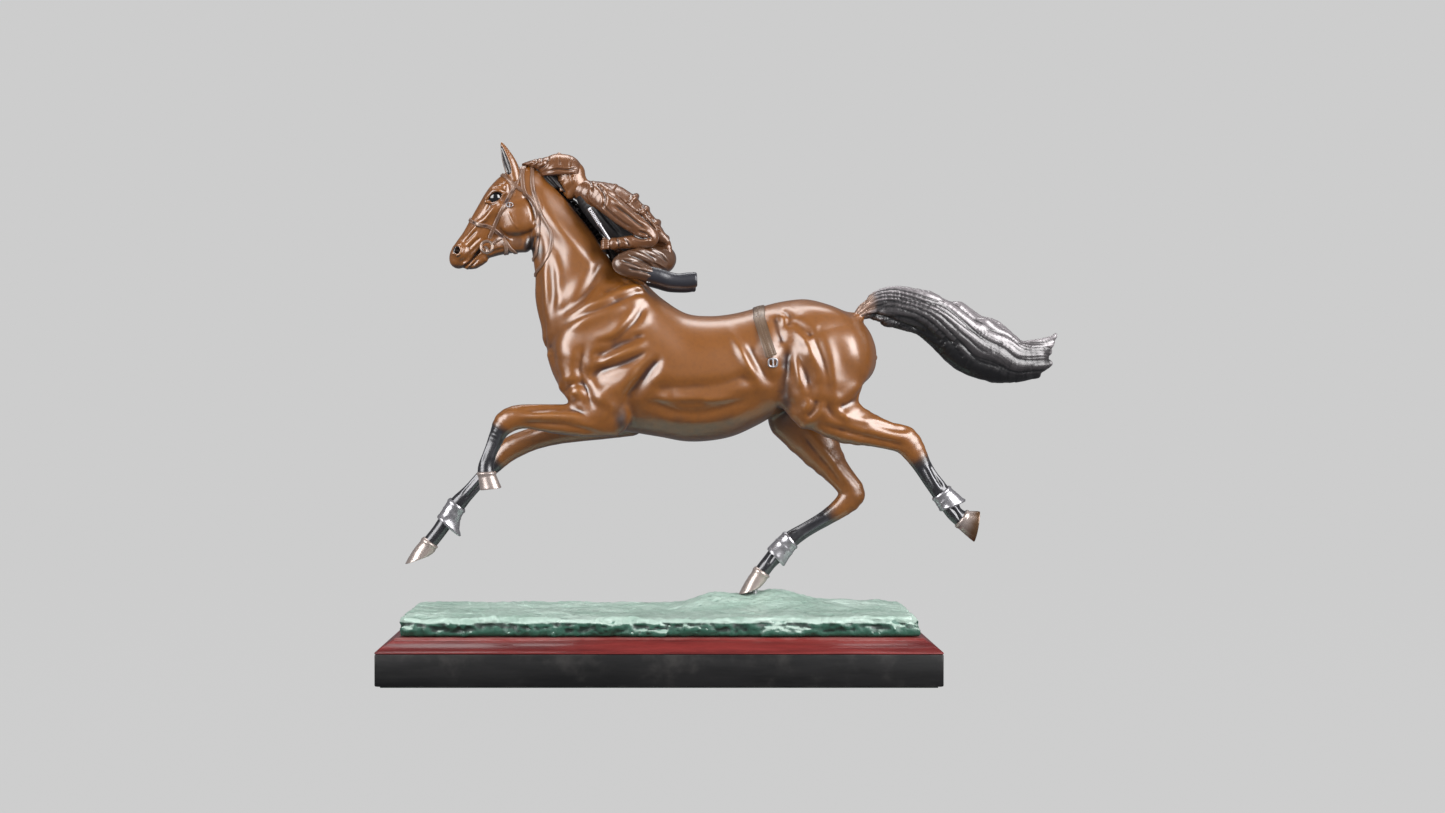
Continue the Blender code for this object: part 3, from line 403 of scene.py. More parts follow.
class Value:
    # a node's socket that Python arithmetic works on
    def __init__(self, owner, socket):
        self.owner, self.socket = owner, socket

    def maths(self, operation, *values):
        return self.owner.node("ShaderNodeMath", {"operation": operation}, dict(enumerate(values)))

    def __add__(self, other):
        return self.maths("ADD", self, other)

    def __sub__(self, other):
        return self.maths("SUBTRACT", self, other)

    def __rsub__(self, other):
        return self.maths("SUBTRACT", other, self)

    def __mul__(self, other):
        return self.maths("MULTIPLY", self, other)

    def __pow__(self, other):
        return self.maths("POWER", self, other)

    __radd__, __rmul__ = __add__, __mul__

    def clamp(self, low=0.0, high=1.0):
        return self.maths("MAXIMUM", self.maths("MINIMUM", self, high), low)

    def ramp(self, low, high):
        return self.owner.node("ShaderNodeMapRange", {"interpolation_type": "SMOOTHSTEP"},
                               {"Value": self, "From Min": low, "From Max": high})


class Nodes:
    # a node tree: one method makes any node from its type, its settings and what its sockets get
    def __init__(self, tree):
        self.nodes, self.links = tree.nodes, tree.links

    def node(self, kind, settings=None, inputs=None, output=0):
        made = self.nodes.new(kind)
        for key, value in (settings or {}).items():
            setattr(made, key, value)
        for key, value in (inputs or {}).items():
            self.plug(made.inputs[key], value)
        return Value(self, made.outputs[output])

    def plug(self, socket, value):
        if isinstance(value, Value):
            self.links.new(value.socket, socket)
        elif isinstance(value, tuple) and len(value) == 3 and len(socket.default_value) == 4:
            socket.default_value = (*value, 1)
        else:
            socket.default_value = value


class Finish(Nodes):
    # one material
    def __init__(self, name):
        self.material = bpy.data.materials.new(name)
        self.material.use_nodes = True
        super().__init__(self.material.node_tree)
        self.shader = self.nodes["Principled BSDF"]

    def place(self, scale=(1, 1, 1)):
        where = self.node("ShaderNodeTexCoord", output="Object")
        return self.node("ShaderNodeMapping", inputs={"Vector": where, "Scale": scale})

    def noise(self, scale, detail=3.0, rough=0.5, stretch=(1, 1, 1), twist=0.0):
        return self.node("ShaderNodeTexNoise", inputs={"Vector": self.place(stretch), "Scale": scale,
                         "Detail": detail, "Roughness": rough, "Distortion": twist})

    def attribute(self, name):
        return self.node("ShaderNodeAttribute", {"attribute_name": name}, output="Fac")

    def blend(self, mask, a, b):
        # the colour mix's own factor, A and B are its sockets 0, 6 and 7
        return self.node("ShaderNodeMix", {"data_type": "RGBA", "clamp_factor": True}, {0: mask, 6: a, 7: b}, 2)

    def bump(self, height, distance):
        return self.node("ShaderNodeBump", inputs={"Height": height, "Distance": distance})

    def surface(self, **inputs):
        names = {"colour": "Base Color", "roughness": "Roughness", "metallic": "Metallic", "normal": "Normal",
                 "coat": "Coat Weight", "coatRoughness": "Coat Roughness", "coatIor": "Coat IOR",
                 "sheen": "Sheen Weight",
                 "specular": "Specular IOR Level", "glow": "Emission Strength", "glowColour": "Emission Color"}
        for key, value in inputs.items():
            self.plug(self.shader.inputs[names[key]], value)
        return self.material


def patina(name, dark, mid, light, spread, roughness, metallic, coat, mottle=0.35, grain=1.0, coatRoughness=0.28,
           stain=None, coatIor=1.6):
    # bronze: dark in its hollows, rubbed on its ridges, mottled by the torch; spread is how deep a full hollow is, in mm
    f = Finish(name)
    hollow = f.attribute("hollow")
    cloud = f.noise(38, 4, 0.6)
    fine = f.noise(260, 3, 0.6)
    depth = hollow * (1 / spread) + (cloud - 0.5) * mottle
    worn = f.blend(depth.ramp(0.0, 0.75), mid, dark)
    worn = f.blend((0.0 - depth).ramp(0.1, 0.9), worn, light)
    worn = f.blend((fine - 0.5).ramp(-0.1, 0.25) * 0.16, worn, dark)
    # the stain mask and colour carry real stains and tints, and on the horse's body and head also painted shade
    if stain:
        streaks = f.noise(120, 3, 0.6)
        mask = (f.attribute("stain") + (streaks - 0.5) * 0.35).ramp(0.2, 0.8)
        worn = f.blend(mask, worn, stain)
    skin = f.noise(900, 2, 0.5)
    return f.surface(colour=worn, roughness=(cloud * 0.16 + (roughness - 0.08)).clamp(0.05, 1), metallic=metallic,
                     coat=coat, coatRoughness=coatRoughness, coatIor=coatIor,
                     normal=f.bump(skin + cloud * 2, 0.00003 * grain))


bronzes = {     # each finish's slot and look
    # the bay's stain colour darkens the lower legs, and is also the painted shade under the body and in the head's
    # hollows
    "bay": ("bay_bronze", dict(dark=(0.040, 0.010, 0.003), mid=(0.205, 0.066, 0.004), light=(0.27, 0.096, 0.010),
            spread=1.2, roughness=0.42, metallic=0.1, coat=1.0, mottle=0.6, coatRoughness=0.27,
            stain=(0.020, 0.012, 0.011), coatIor=1.68)),
    "dark": ("dark_bronze", dict(dark=(0.006, 0.006, 0.007), mid=(0.030, 0.029, 0.034), light=(0.11, 0.11, 0.125),
             spread=0.6, roughness=0.24, metallic=0.5, coat=0.9, stain=(0.30, 0.10, 0.02))),
    "pewter": ("pewter_patina", dict(dark=(0.10, 0.09, 0.09), mid=(0.36, 0.35, 0.37), light=(0.55, 0.53, 0.55),
               spread=0.5, roughness=0.28, metallic=0.7, coat=0.6)),
    "hoof": ("horn_patina", dict(dark=(0.13, 0.08, 0.06), mid=(0.40, 0.33, 0.30), light=(0.58, 0.52, 0.49),
             spread=0.6, roughness=0.3, metallic=0.5, coat=0.7, stain=(0.12, 0.06, 0.025))),
    "strap": ("strap_bronze", dict(dark=(0.05, 0.02, 0.013), mid=(0.21, 0.11, 0.065), light=(0.36, 0.26, 0.21),
              spread=0.4, roughness=0.36, metallic=0.3, coat=0.9)),
    "bit": ("pewter_patina", dict(dark=(0.03, 0.02, 0.015), mid=(0.22, 0.14, 0.10), light=(0.42, 0.34, 0.30),
            spread=0.4, roughness=0.26, metallic=0.5, coat=0.9)),
    "loin": ("strap_bronze", dict(dark=(0.03, 0.018, 0.012), mid=(0.13, 0.076, 0.042), light=(0.21, 0.145, 0.10),
             spread=0.5, roughness=0.4, metallic=0.3, coat=0.7)),
    "rider": ("jockey_bronze", dict(dark=(0.02, 0.009, 0.006), mid=(0.15, 0.055, 0.016), light=(0.25, 0.13, 0.075),
              spread=0.8, roughness=0.34, metallic=0.2, coat=1.0, stain=(0.23, 0.085, 0.018))),
    "breeches": ("jockey_bronze", dict(dark=(0.015, 0.009, 0.008), mid=(0.10, 0.043, 0.018), light=(0.25, 0.16, 0.12),
                 spread=0.7, roughness=0.34, metallic=0.2, coat=1.0)),
    "boot": ("dark_bronze", dict(dark=(0.005, 0.005, 0.007), mid=(0.022, 0.022, 0.03), light=(0.08, 0.085, 0.11),
             spread=1.2, roughness=0.34, metallic=0.3, coat=0.8, coatRoughness=0.38)),
    # the hair's light colour is rubbed on ridges, and on the tail it is also the painted highlight along the top
    "hair": ("dark_bronze", dict(dark=(0.006, 0.006, 0.007), mid=(0.05, 0.045, 0.047), light=(0.27, 0.245, 0.255),
             spread=0.7, roughness=0.36, metallic=0.35, coat=0.6, mottle=0.25, stain=(0.30, 0.19, 0.14))),
    # a near-black, dull finish that paints shadow
    "under": ("jockey_bronze", dict(dark=(0.003, 0.003, 0.004), mid=(0.010, 0.009, 0.010), light=(0.02, 0.02, 0.022),
              spread=1.0, roughness=0.6, metallic=0.1, coat=0.1)),
    "eye": ("dark_bronze", dict(dark=(0.004, 0.004, 0.004), mid=(0.006, 0.006, 0.007), light=(0.010, 0.010, 0.012),
            spread=4.0, roughness=0.12, metallic=0.1, coat=1.0, mottle=0.0, grain=0.2, coatRoughness=0.05)),
}
# a finish is a material and the slot it goes by
finishes = {name: (patina(name + "Bronze", **look), slot) for name, (slot, look) in bronzes.items()}


# the body and the four upper legs, one skin
horse = {
    "step": 2.4,
    "trunk": [
        (-93.6, 0, 274.5, 2, 2), (-92.8, 0, 274, 9, 6.5), (-90.5, 0, 273, 18, 11.5),
        (-86, 0, 272, 27, 17), (-74, 0, 275, 44, 28), (-58, 0, 272, 58, 33.5), (-38, 0, 268, 64, 36.5),
        (-16, 0, 264, 64, 38.5), (2, 0, 255, 58, 40.5), (22, 0, 247, 53.5, 42), (42, 0, 246, 52, 43),
        (62, 0, 249, 51, 42.5), (82, 0, 256, 49, 40.5), (102, 0, 264, 46, 38.5), (122, 0, 268, 44, 40),
        (140, 0, 268, 40, 40), (154, 0, 268.5, 34, 36), (161, 0, 268, 31.5, 33.5), (167, 0, 267.5, 28, 30),
        (172, 0, 266.5, 23.5, 25.5), (176, 0, 265.5, 18.5, 20), (178.8, 0, 264.5, 13, 14), (180.4, 0, 264, 8, 8.5),
        (181.2, 0, 263.5, 2, 2),
    ],
    "neck": [
        (-58, 0, 298, 41, 26), (-66, 0, 314, 38, 24.5), (-71.5, 0, 329, 35, 22.5), (-76, 0, 344, 30, 19.8),
        (-82, 0, 360, 26, 17), (-88.5, 0, 375, 21.5, 14.8), (-95, 0, 389, 17.6, 13), (-102, 0, 401, 14, 11.5),
        (-108, 0, 409.5, 10, 9), (-112, 0, 415, 6, 6),
    ],
    "neckAxis": (-0.419, 0.908),
    "shoulder": [(-20, 19, 318, 11, 9), (-40, 25, 292, 23, 12), (-62, 22, 266, 21, 14), (-71, 19, 247, 13, 13)],
    "arm": [(-72, 19, 245, 13, 12), (-56, 25, 232, 16, 13), (-40, 27, 221, 14, 12)],
    "triceps": [(-18, 26, 274, 10, 9), (-28, 28, 250, 17, 12), (-42, 27, 228, 14, 12)],
    "breast": [(-83, 9, 268, 10, 9), (-73, 12, 242, 9, 9)],
    "thigh": [(126, 17, 286, 22, 14), (138, 23, 258, 33, 19), (134, 26, 232, 25, 17)],
    "stifle": [(107, 23, 250, 12, 11), (112, 26, 231, 14, 12), (125, 26, 216, 14, 12)],
    "dock": [(146, 0, 285, 11, 10), (157, 0, 291.5, 7.5, 7), (166, 0, 297, 4.6, 4.6), (172, 0, 302, 4, 4)],
    "throat": ((-99, 0, 385), (-1, 0, 0.15)),     # where the head's casting takes over
}
# each leg's rows from the body down; its dark casting starts at row darkFrom
darkFrom = 6
legs = {
    "leftFore": [
        (-40, -25, 214, 16, 12), (-61, -26, 211.5, 13.5, 12), (-86, -25, 212.5, 12, 10),
        (-106, -25, 214.5, 10, 8.5), (-118, -25, 213.5, 10, 8.8), (-126, -25, 209.5, 9.6, 8.6),
        (-131, -25, 202.5, 7.2, 6.8), (-135, -25, 192.5, 5.8, 4.8), (-139, -25, 183, 5.5, 4.4),
        (-142, -25, 174, 6.3, 5.2), (-142, -25, 168, 7, 6)],
    "rightFore": [
        (-26, 24, 214, 17, 12), (-49, 24, 208.5, 14, 12), (-83, 24, 202.5, 11.5, 10), (-105.5, 24, 195.5, 9.5, 8.5),
        (-120, 24, 190, 10, 8.8), (-130, 24, 184, 9.6, 8.5), (-139, 24, 174, 7.3, 7), (-149, 24, 163.5, 5.8, 4.8),
        (-161, 24, 150.5, 5.8, 4.8), (-171.5, 24, 139, 7.2, 6), (-179, 24, 128, 6.6, 5.8), (-186.5, 24, 117, 6.2, 5.6),
        (-194, 24, 107.5, 6.2, 6)],
    "leftHind": [
        (136, -26, 222, 22, 13), (154, -26, 210, 18, 12), (173, -25, 203.5, 13.5, 10.5),
        (189, -25, 198.5, 11.2, 9), (201, -25, 195.5, 11.6, 8.2), (208.5, -25, 187, 10, 7.2),
        (215.5, -25, 175, 7.6, 5.6), (223, -25, 163, 7, 5.2), (231, -25, 152.5, 7.6, 6), (237, -25, 144.5, 8, 6.4),
        (242, -25, 135.5, 6.6, 6), (248, -25, 130.5, 7, 6.6)],
    "rightHind": [
        (117, 19, 214, 25, 15), (136, 20, 186.5, 17.5, 13), (149, 20, 169, 12, 10), (159, 20, 157, 10.5, 8.2),
        (163, 20, 148, 11.2, 8), (155.5, 20, 138.5, 8.8, 7.2), (141.5, 20, 128.5, 6.7, 5.6), (125.5, 20, 119, 6.2, 5.2),
        (112, 19, 110.5, 7.2, 6), (103.5, 19, 102, 7.8, 6.4), (93.5, 18, 91.5, 6.4, 6), (87, 18, 83, 6.4, 6)],
}
muscles = [
    (0, -62, 294, 26, 8, 42, 2.0), (0, -36, 312, 30, 5, 20, 1.6), (0, -32, 287, 24, 7, 38, 1.8),
    (0, -38, 262, 26, 6, 22, 2.0), (0, -28, 244, 26, 7, 32, 1.8), (0, -44, 232, 14, 9, 70, 1.6),
    (0, -77, 268, 24, 9, -78, 2.4), (0, -70, 234, 9, 6, 20, 1.6), (left, -84, 215, 30, 4, 0, 1.2),
    (0, 20, 262, 50, 20, -8, 1.0), (0, 28, 229, 44, 4, 0, 1.6), (0, 20, 212, 40, 6, 0, 1.0),
    (0, 70, 262, 26, 5, -62, 2.2), (0, 88, 272, 20, 5, -68, 1.4), (0, 102, 296, 7, 5, -50, 1.8),
    (0, 124, 268, 34, 6, -62, 2.2), (0, 114, 248, 18, 5, -75, 1.8), (0, 157, 270, 26, 11, -80, 2.6),
    (0, 141, 246, 24, 6, -82, 1.6), (0, 122, 223, 9, 5, 50, 1.6), (0, 150, 214, 9, 6, -20, 1.6),
    (left, 172, 210, 22, 4, -10, 1.2), (right, 140, 184, 20, 7, -52, 1.4),
    (0, -86, 372, 8, 22, 42, 1.4), (0, -66, 352, 34, 7, -50, 1.6), (0, -93, 325, 3.5, 34, 2, 1.4),
    (0, -83, 325, 4, 30, 4, 0.8),
]
creases = [
    (0, 2.6, -1.7, [(-86, 293), (-76, 304), (-66, 311), (-54, 328), (-46, 346)]),
    (0, 2.0, -1.0, [(-80, 296), (-66, 305), (-56, 318), (-44, 334)]),
    (0, 2.0, -1.5, [(-84, 285), (-66, 295), (-47, 303), (-28, 312), (-12, 317), (2, 314)]),
    (0, 1.8, -1.1, [(-48, 314), (-36, 321), (-24, 325), (-8, 323), (6, 312)]),
    (0, 2.2, -1.8, [(-58, 272), (-46, 275), (-34, 279), (-20, 292), (-9, 310)]),
    (0, 2.6, -2.2, [(-56, 263), (-48, 266), (-40, 270), (-26, 276), (-10, 283)]),
    (0, 2.2, -1.5, [(-56, 250), (-39, 255), (-22, 261), (-6, 270)]),
    (0, 3.2, -3.2, [(4, 265), (-6, 255), (-14, 245), (-22, 234), (-29, 221)]),
    (0, 2.6, -1.6, [(-60, 276), (-64, 254), (-60, 238), (-52, 218)]),
    (0, 2.2, -1.6, [(-80, 230), (-72, 240), (-61, 240), (-56, 230)]),
    (0, 2.2, -1.2, [(-92, 280), (-87, 262), (-82, 246), (-76, 232)]),
    (left, 1.7, -1.3, [(-116, 219), (-100, 220), (-84, 221), (-66, 219), (-55, 211)]),
    (left, 1.7, -1.2, [(-118, 209), (-98, 209), (-80, 208), (-62, 204), (-44, 199)]),
    (0, 3.0, -1.3, [(-16, 238), (6, 238), (28, 239), (50, 241), (68, 246), (88, 238)]),
    (0, 3.0, -1.5, [(-22, 231), (0, 225), (18, 218), (42, 219), (66, 227), (88, 232)]),
    (0, 2.4, -1.0, [(6, 233), (20, 227), (40, 228)]),
    (0, 3.2, -1.8, [(72, 276), (78, 262), (86, 249), (96, 238)]),
    (0, 2.2, -1.3, [(94, 298), (97, 284), (101, 272)]),
    (0, 1.8, -1.2, [(100, 302), (107, 295), (104, 286)]),
    (0, 4.0, -3.6, [(106, 276), (104, 258), (102, 242), (104, 228), (112, 214)]),
    (0, 2.6, -1.8, [(108, 294), (116, 286), (126, 278)]),
    (0, 2.8, -1.6, [(124, 282), (130, 266), (136, 250), (141, 230)]),
    (0, 2.4, -1.3, [(112, 268), (118, 252), (122, 238)]),
    (0, 2.6, -2.0, [(144, 220), (158, 227), (172, 238)]),
    (0, 2.2, -1.4, [(118, 214), (124, 219), (128, 230)]),
    (0, 2.2, -1.2, [(134, 226), (142, 216), (152, 208)]),
    (left, 1.8, -1.5, [(128, 209), (147, 204), (168, 198), (190, 193), (207, 189)]),
    (left, 1.6, -1.2, [(168, 211), (182, 207), (196, 204), (208, 204)]),
    (right, 1.8, -1.3, [(116, 204), (132, 184), (147, 166), (157, 150)]),
    (0, 2.0, -0.8, [(-104, 338), (-99, 322), (-98, 302), (-94, 284)]),
    (0, 2.2, -0.6, [(-94, 352), (-88, 334), (-87, 314), (-88, 296)]),
]
neckLines = [
    (0, 3.2, -1.0, [(-112, 394), (-103, 384), (-92, 366), (-84, 350), (-77, 330)]),
    (0, 2.4, -1.0, [(-108, 352), (-100, 362), (-96, 350), (-97, 334)]),
    (0, 5.0, 0.9, [(-106, 402), (-96, 390), (-84, 373), (-72, 356), (-62, 340)]),
]


# the head, ears and eyes
head = {
    "step": 1.15,
    "skull": [
        (-104, 0, 411, 9, 7), (-112, 0, 408.5, 14.5, 10.5), (-120, 0, 402, 17.5, 12.5), (-128, 0, 393, 18.2, 12.8),
        (-136, 0, 382.5, 16.8, 11.8), (-145, 0, 371.5, 14.4, 10.2), (-153, 0, 362, 12, 9.2),
        (-160, 0, 354.5, 10.6, 8.8),
        (-165, 0, 348.5, 9.6, 8.6), (-167.5, 0, 345, 7.5, 7)],
    "added": [
        # rows, reach, both sides
        ([(-118.5, 8.5, 383, 14.5, 6.5), (-116.5, 8.5, 375, 14, 6.5)], 4.0, True),
        ([(-112, 3.5, 358, 6.5, 5), (-128, 3.5, 357.5, 7, 5.5), (-144, 2, 353, 6, 5)], 5.0, True),
        ([(-160.5, 0, 341.2, 4, 6), (-154, 0, 342.5, 5, 6), (-147, 0, 347, 5, 5.5)], 2.5, False),
        ([(-166.2, 6.0, 352.2, 6.2, 5.2), (-163, 6.2, 350, 6, 4.6)], 2.5, True),
        ([(-142, 9.6, 394.5, 3.6, 3.4), (-136, 11.4, 400.5, 4, 3.8), (-128, 10.8, 403.5, 4.2, 4)], 3.0, True),
        ([(-131, 11.6, 389, 3.6, 3), (-140, 10.8, 382.5, 3.2, 2.6), (-149, 9.4, 374.5, 2.4, 2)], 3.5, True),
        ([(-116, 7, 411, 6.5, 5.5)], 5.0, True),
        ([(-130, 0, 370, 12, 7), (-112, 0, 370, 13, 8)], 4.0, False),
    ],
    "carved": [
        ([(-141.4, 14.8, 394, 2.6, 3.4), (-135.8, 15.8, 396.2, 4.7, 4.0), (-130.6, 15.0, 398.2, 2.6, 3.4)], 0.8),
        ([(-166, 7.2, 351.6, 2.2, 2.0), (-168.4, 12.5, 352.6, 3.0, 3.4)], 0.5),
        ([(-146, 13.4, 386, 4, 2.6), (-152, 11.6, 378, 3.4, 2.4)], 2.5),
        ([(-124, 14.8, 404.5, 3.2, 2.6), (-121.5, 15, 399, 2.6, 2.2)], 2.5),
    ],
    "rims": [     # lids and the rim of the nostril: width and side-view path
        (1.2, [(-143.8, 392.2), (-141.4, 396.4), (-137.2, 400.2), (-132.4, 401), (-128.2, 398.8)]),
        (0.9, [(-143.8, 392.2), (-139.6, 391.2), (-134.6, 391.9), (-130.8, 394.6), (-128.2, 398.8)]),
        (0.8, [(-142.2, 400.4), (-137.8, 403.6), (-132.4, 404.4), (-127.4, 402)]),
        (0.7, [(-141.4, 403.8), (-137, 406.4), (-131.6, 406.8), (-127, 404.6)]),
        (1.1, [(-170.9, 349.6), (-171.4, 352.8), (-170.2, 355.6), (-167.6, 356.5), (-165, 355), (-164, 352),
               (-165, 349.2),
               (-167.4, 348)]),
    ],
    "lines": [
        (0, 1.0, -2.0, [(-166, 336), (-160, 340.5), (-155, 345.5), (-150.5, 351), (-146, 355)]),
        (0, 0.9, -1.0, [(-160, 337), (-154.5, 341), (-150, 346)]),
        (0, 0.9, 0.7, [(-163, 340.5), (-157.5, 344), (-152.5, 349.5)]),
        (0, 1.2, -0.8, [(-160, 352), (-153, 359), (-147, 364)]),
        (0, 1.1, -0.8, [(-162, 358), (-156, 364), (-151, 369)]),
        (0, 1.1, 0.6, [(-158, 347), (-151, 354), (-146, 360)]),
        (0, 1.3, 0.8, [(-161, 361), (-154, 369), (-147, 379), (-141, 388)]),
        (0, 1.3, -0.9, [(-139, 391), (-143, 384), (-150, 376)]),
        (0, 1.2, 0.7, [(-134, 390), (-141, 381), (-147, 374)]),
        (0, 1.6, -1.2, [(-104, 372), (-103, 382), (-107, 392), (-114, 400)]),
        (0, 1.4, -0.7, [(-133, 372), (-128, 364), (-121, 360)]),
        (0, 1.0, -0.6, [(-143, 349), (-136, 352), (-128, 354)]),
        (0, 1.0, 0.5, [(-125, 385), (-121, 376), (-116, 369)]),
    ],
    "swells": [(0, -117, 378, 12, 12, 0, 0.8), (0, -152, 371, 9, 4, 45, 0.5), (0, -124, 394, 6, 4, 0, -0.5)],
    "ear": [(-119.5, 8, 411, 5, 5), (-121.8, 8.2, 418, 5.8, 4.8), (-124.6, 8.6, 426, 5.4, 4.2),
            (-127.4, 8.8, 433, 3.8, 3.1), (-129.6, 8.8, 438.6, 2, 1.8), (-130.6, 8.7, 441.4, 0.7, 0.7)],
    "earHollow": [(-124.5, 11.6, 417.5, 2.4, 2), (-127, 12, 424, 3, 2.4), (-129.2, 11.3, 431, 2.3, 1.8),
                  (-130.8, 10, 437, 1.1, 1)],
    "eye": (-135.8, 7.2, 396, 7.0),
}


def addHeadMass(form):
    form.add(head["skull"], 5.0, 5, 2.0)
    for rows, reach, both in head["added"]:
        form.add(rows, reach, 2, 1.4, both=both)


def legTurn(name):
    # the middle of a leg where its dark casting starts, and the way down
    rows = np.array(legs[name], float)[:, :3]
    return rows[darkFrom], rows[darkFrom + 1] - rows[darkFrom - 1]


def bodyForm():
    form = Form()
    form.loft(horse["trunk"], (1, 0), 1.0)
    form.loft(horse["neck"], horse["neckAxis"], 12.0)
    for key, reach in (("shoulder", 10), ("arm", 7), ("triceps", 8), ("breast", 6), ("thigh", 12), ("stifle", 9)):
        form.add(horse[key], reach, 2, 2.0, both=True)
    form.add(horse["dock"], 5.0, 2, 2.0)
    addHeadMass(form)
    for name, rows in legs.items():
        form.add(rows[:darkFrom + 2], 7.0, 2)
        form.sink(*legTurn(name), 6.0)
    form.sink(*horse["throat"], within=110.0)
    return form


def legStainAndPaintedShade(points, normals):
    # where the bay coat darkens towards each dark lower leg, and painted shade on faces turned down, under the belly,
    # in the folds at the elbow and the flank, and under the throat
    stain = np.zeros(len(points))
    for name in legs:
        point, way = legTurn(name)
        past = (points - point) @ (way / np.linalg.norm(way))
        near = ((points - point)**2).sum(1) < 32**2
        start = {"rightHind": -16, "leftHind": -14}.get(name, -10)
        stain = np.maximum(stain, np.where(near, np.clip((past - start) / (2 - start), 0, 1), 0))
    # painted shade on faces turned down
    stain = np.maximum(stain, 0.42 * np.clip(-normals[:, 2] - 0.35, 0, 0.6) / 0.6)
    # painted shade under the belly
    belly = np.clip((points[:, 0] + 34) / 14, 0, 1) * np.clip((106 - points[:, 0]) / 14, 0, 1)
    stain = np.maximum(stain, 0.42 * belly * np.clip((229 - points[:, 2] + 3 * waves(points, 40, 2)) / 18, 0, 1))
    # painted shade in the folds behind the elbow and before the stifle, and under the throat
    for x, z, wide, high, amount in ((103, 228, 8, 22, 0.62), (-31, 210, 8, 20, 0.62), (-101, 352, 8, 10, 0.7)):
        stain = np.maximum(stain, amount * np.exp(-((points[:, 0] - x) / wide)**2 - ((points[:, 2] - z) / high)**2))
    return stain


skins = {}
skins["body"] = sculpt("horseBody", bodyForm(), horse["step"], finishes["bay"],
                       ("body_casting", "neck_casting", "left_foreleg", "right_foreleg", "left_hind_leg",
                        "right_hind_leg"), lines=creases + neckLines, swells=muscles, stain=legStainAndPaintedShade,
                       spread=1.4, strength=0.8)


def skinAtSide(form, spots, side):
    # the outermost skin under points given in the side view
    far = np.arange(30, 0, -0.25, dtype=np.float32)
    made = []
    for x, z in spots:
        value = form(np.stack([np.full_like(far, x), side * far, np.full_like(far, z)], 1))
        inside = np.nonzero(value < 0)[0]
        made.append((x, side * far[inside[0] if len(inside) else -1], z))
    return made


def headForm():
    form = Form()
    form.loft(horse["neck"], horse["neckAxis"], 1.0)
    addHeadMass(form)
    for rows, reach in head["carved"]:
        form.add(rows, reach, 2, carve=True, both=True)
    for wide, path in head["rims"]:
        for side in (left, right):
            form.add([(*point, wide, wide) for point in skinAtSide(form, path, side)], 0.5)
    point, facing = horse["throat"]
    form.sink(point, [-v for v in facing], within=110.0)
    return form


def buildHead():
    form = headForm()
    skins["head"] = sculpt("horseHead", form, head["step"], finishes["bay"], ("head_casting",),
                           lines=head["lines"] + neckLines, swells=head["swells"] + muscles[-4:], facing=0.1,
                           stain=headPaintedShade)
    for name, side in (("left", left), ("right", right)):
        ear = Form().add(mirrored(head["ear"], side))
        ear.add(mirrored(head["earHollow"], side), 0.8, carve=True)
        sculpt(name + "Ear", ear, 0.8, finishes["bay"], stain=earHollowDark)
        x, y, z, r = head["eye"]
        sculpt(name + "Eye", Form().add(mirrored([(x, y, z, r, r)] * 2, side), steps=1), 0.8, finishes["eye"], ())


def headPaintedShade(points, normals):
    # painted shade in the nostrils, round the eyes, under the jaw and in the throat, and on faces turned down
    # painted shade on faces turned down
    stain = 0.6 * np.clip(-normals[:, 2] - 0.25, 0, 0.5) / 0.5
    # painted shade spots in the nostril, round the eye, in the throat and under the jaw
    for x, z, wide, amount in ((-168, 352.4, 3.0, 1.8), (-135.8, 396, 6.2, 0.6), (-104, 355, 10, 0.9),
                               (-128, 359, 6, 0.42), (-118, 359, 7, 0.5)):
        stain = np.maximum(stain, amount * np.exp(-(((points[:, 0] - x)**2 + (points[:, 2] - z)**2) / wide**2)**2))
    return stain


def earHollowDark(points, normals):
    # darker inside the ear's hollow
    inner = chainDistance(points, smoothRows(mirrored(head["earHollow"], math.copysign(1, points[0, 1])), 2), 1.0)
    return np.clip(1.1 - np.abs(inner) * 1.6, 0, 0.85)


buildHead()


# the dark lower legs, their tendons, hooves and boots
cannonStep = 1.2
tendons = {
    "leftFore": [
        (0, 1.3, -1.0, [(-126, 203), (-131, 190), (-136, 176)]),
        (0, 1.1, 0.7, [(-137, 204), (-142, 188), (-147, 174)])],
    "rightFore": [
        (0, 1.3, -1.0, [(-142, 169), (-153, 156), (-165, 143)]),
        (0, 1.2, -0.8, [(-168, 134), (-175, 130), (-181, 122)]),
        (0, 1.1, 0.7, [(-150, 170), (-160, 158), (-170, 146)])],
    "leftHind": [
        (0, 1.4, -1.0, [(221, 177), (227, 165), (233, 155)]), (0, 1.1, 0.7, [(214, 174), (220, 163), (226, 153)]),
        (0, 1.2, -0.8, [(236, 141), (242, 137), (247, 128)])],
    "rightHind": [
        (0, 1.4, -1.0, [(146, 126), (132, 117.5), (118, 109)]), (0, 1.1, 0.7, [(140, 131), (126, 123), (112, 115)]),
        (0, 1.2, -0.8, [(104, 104), (96, 96), (91, 88)])],
}
hooves = {     # sole centre, sole facing, half length, half width, how brown
    "leftFore": ((-137.4, -25, 155.2), (0.12, 0, -1), 9.0, 8.2, 0.1),
    "rightFore": ((-204, 24, 92.8), (0.33, 0, -0.94), 11.5, 8.5, 0.25),
    "leftHind": ((260.8, -25, 125.2), (0.98, 0, -0.17), 13.2, 8.5, 0.9),
    "rightHind": ((77, 18, 67.2), (0.31, 0, -0.95), 9.6, 8.5, 0.1),
}
jointBoots = {     # leg, first and last row, flare
    "rightForeBoot": ("rightFore", 8.9, 10.3, 9.0),
    "leftHindBoot": ("leftHind", 8.0, 9.4, 4.0),
    "rightHindBoot": ("rightHind", 8.0, 9.6, 2.5),
}


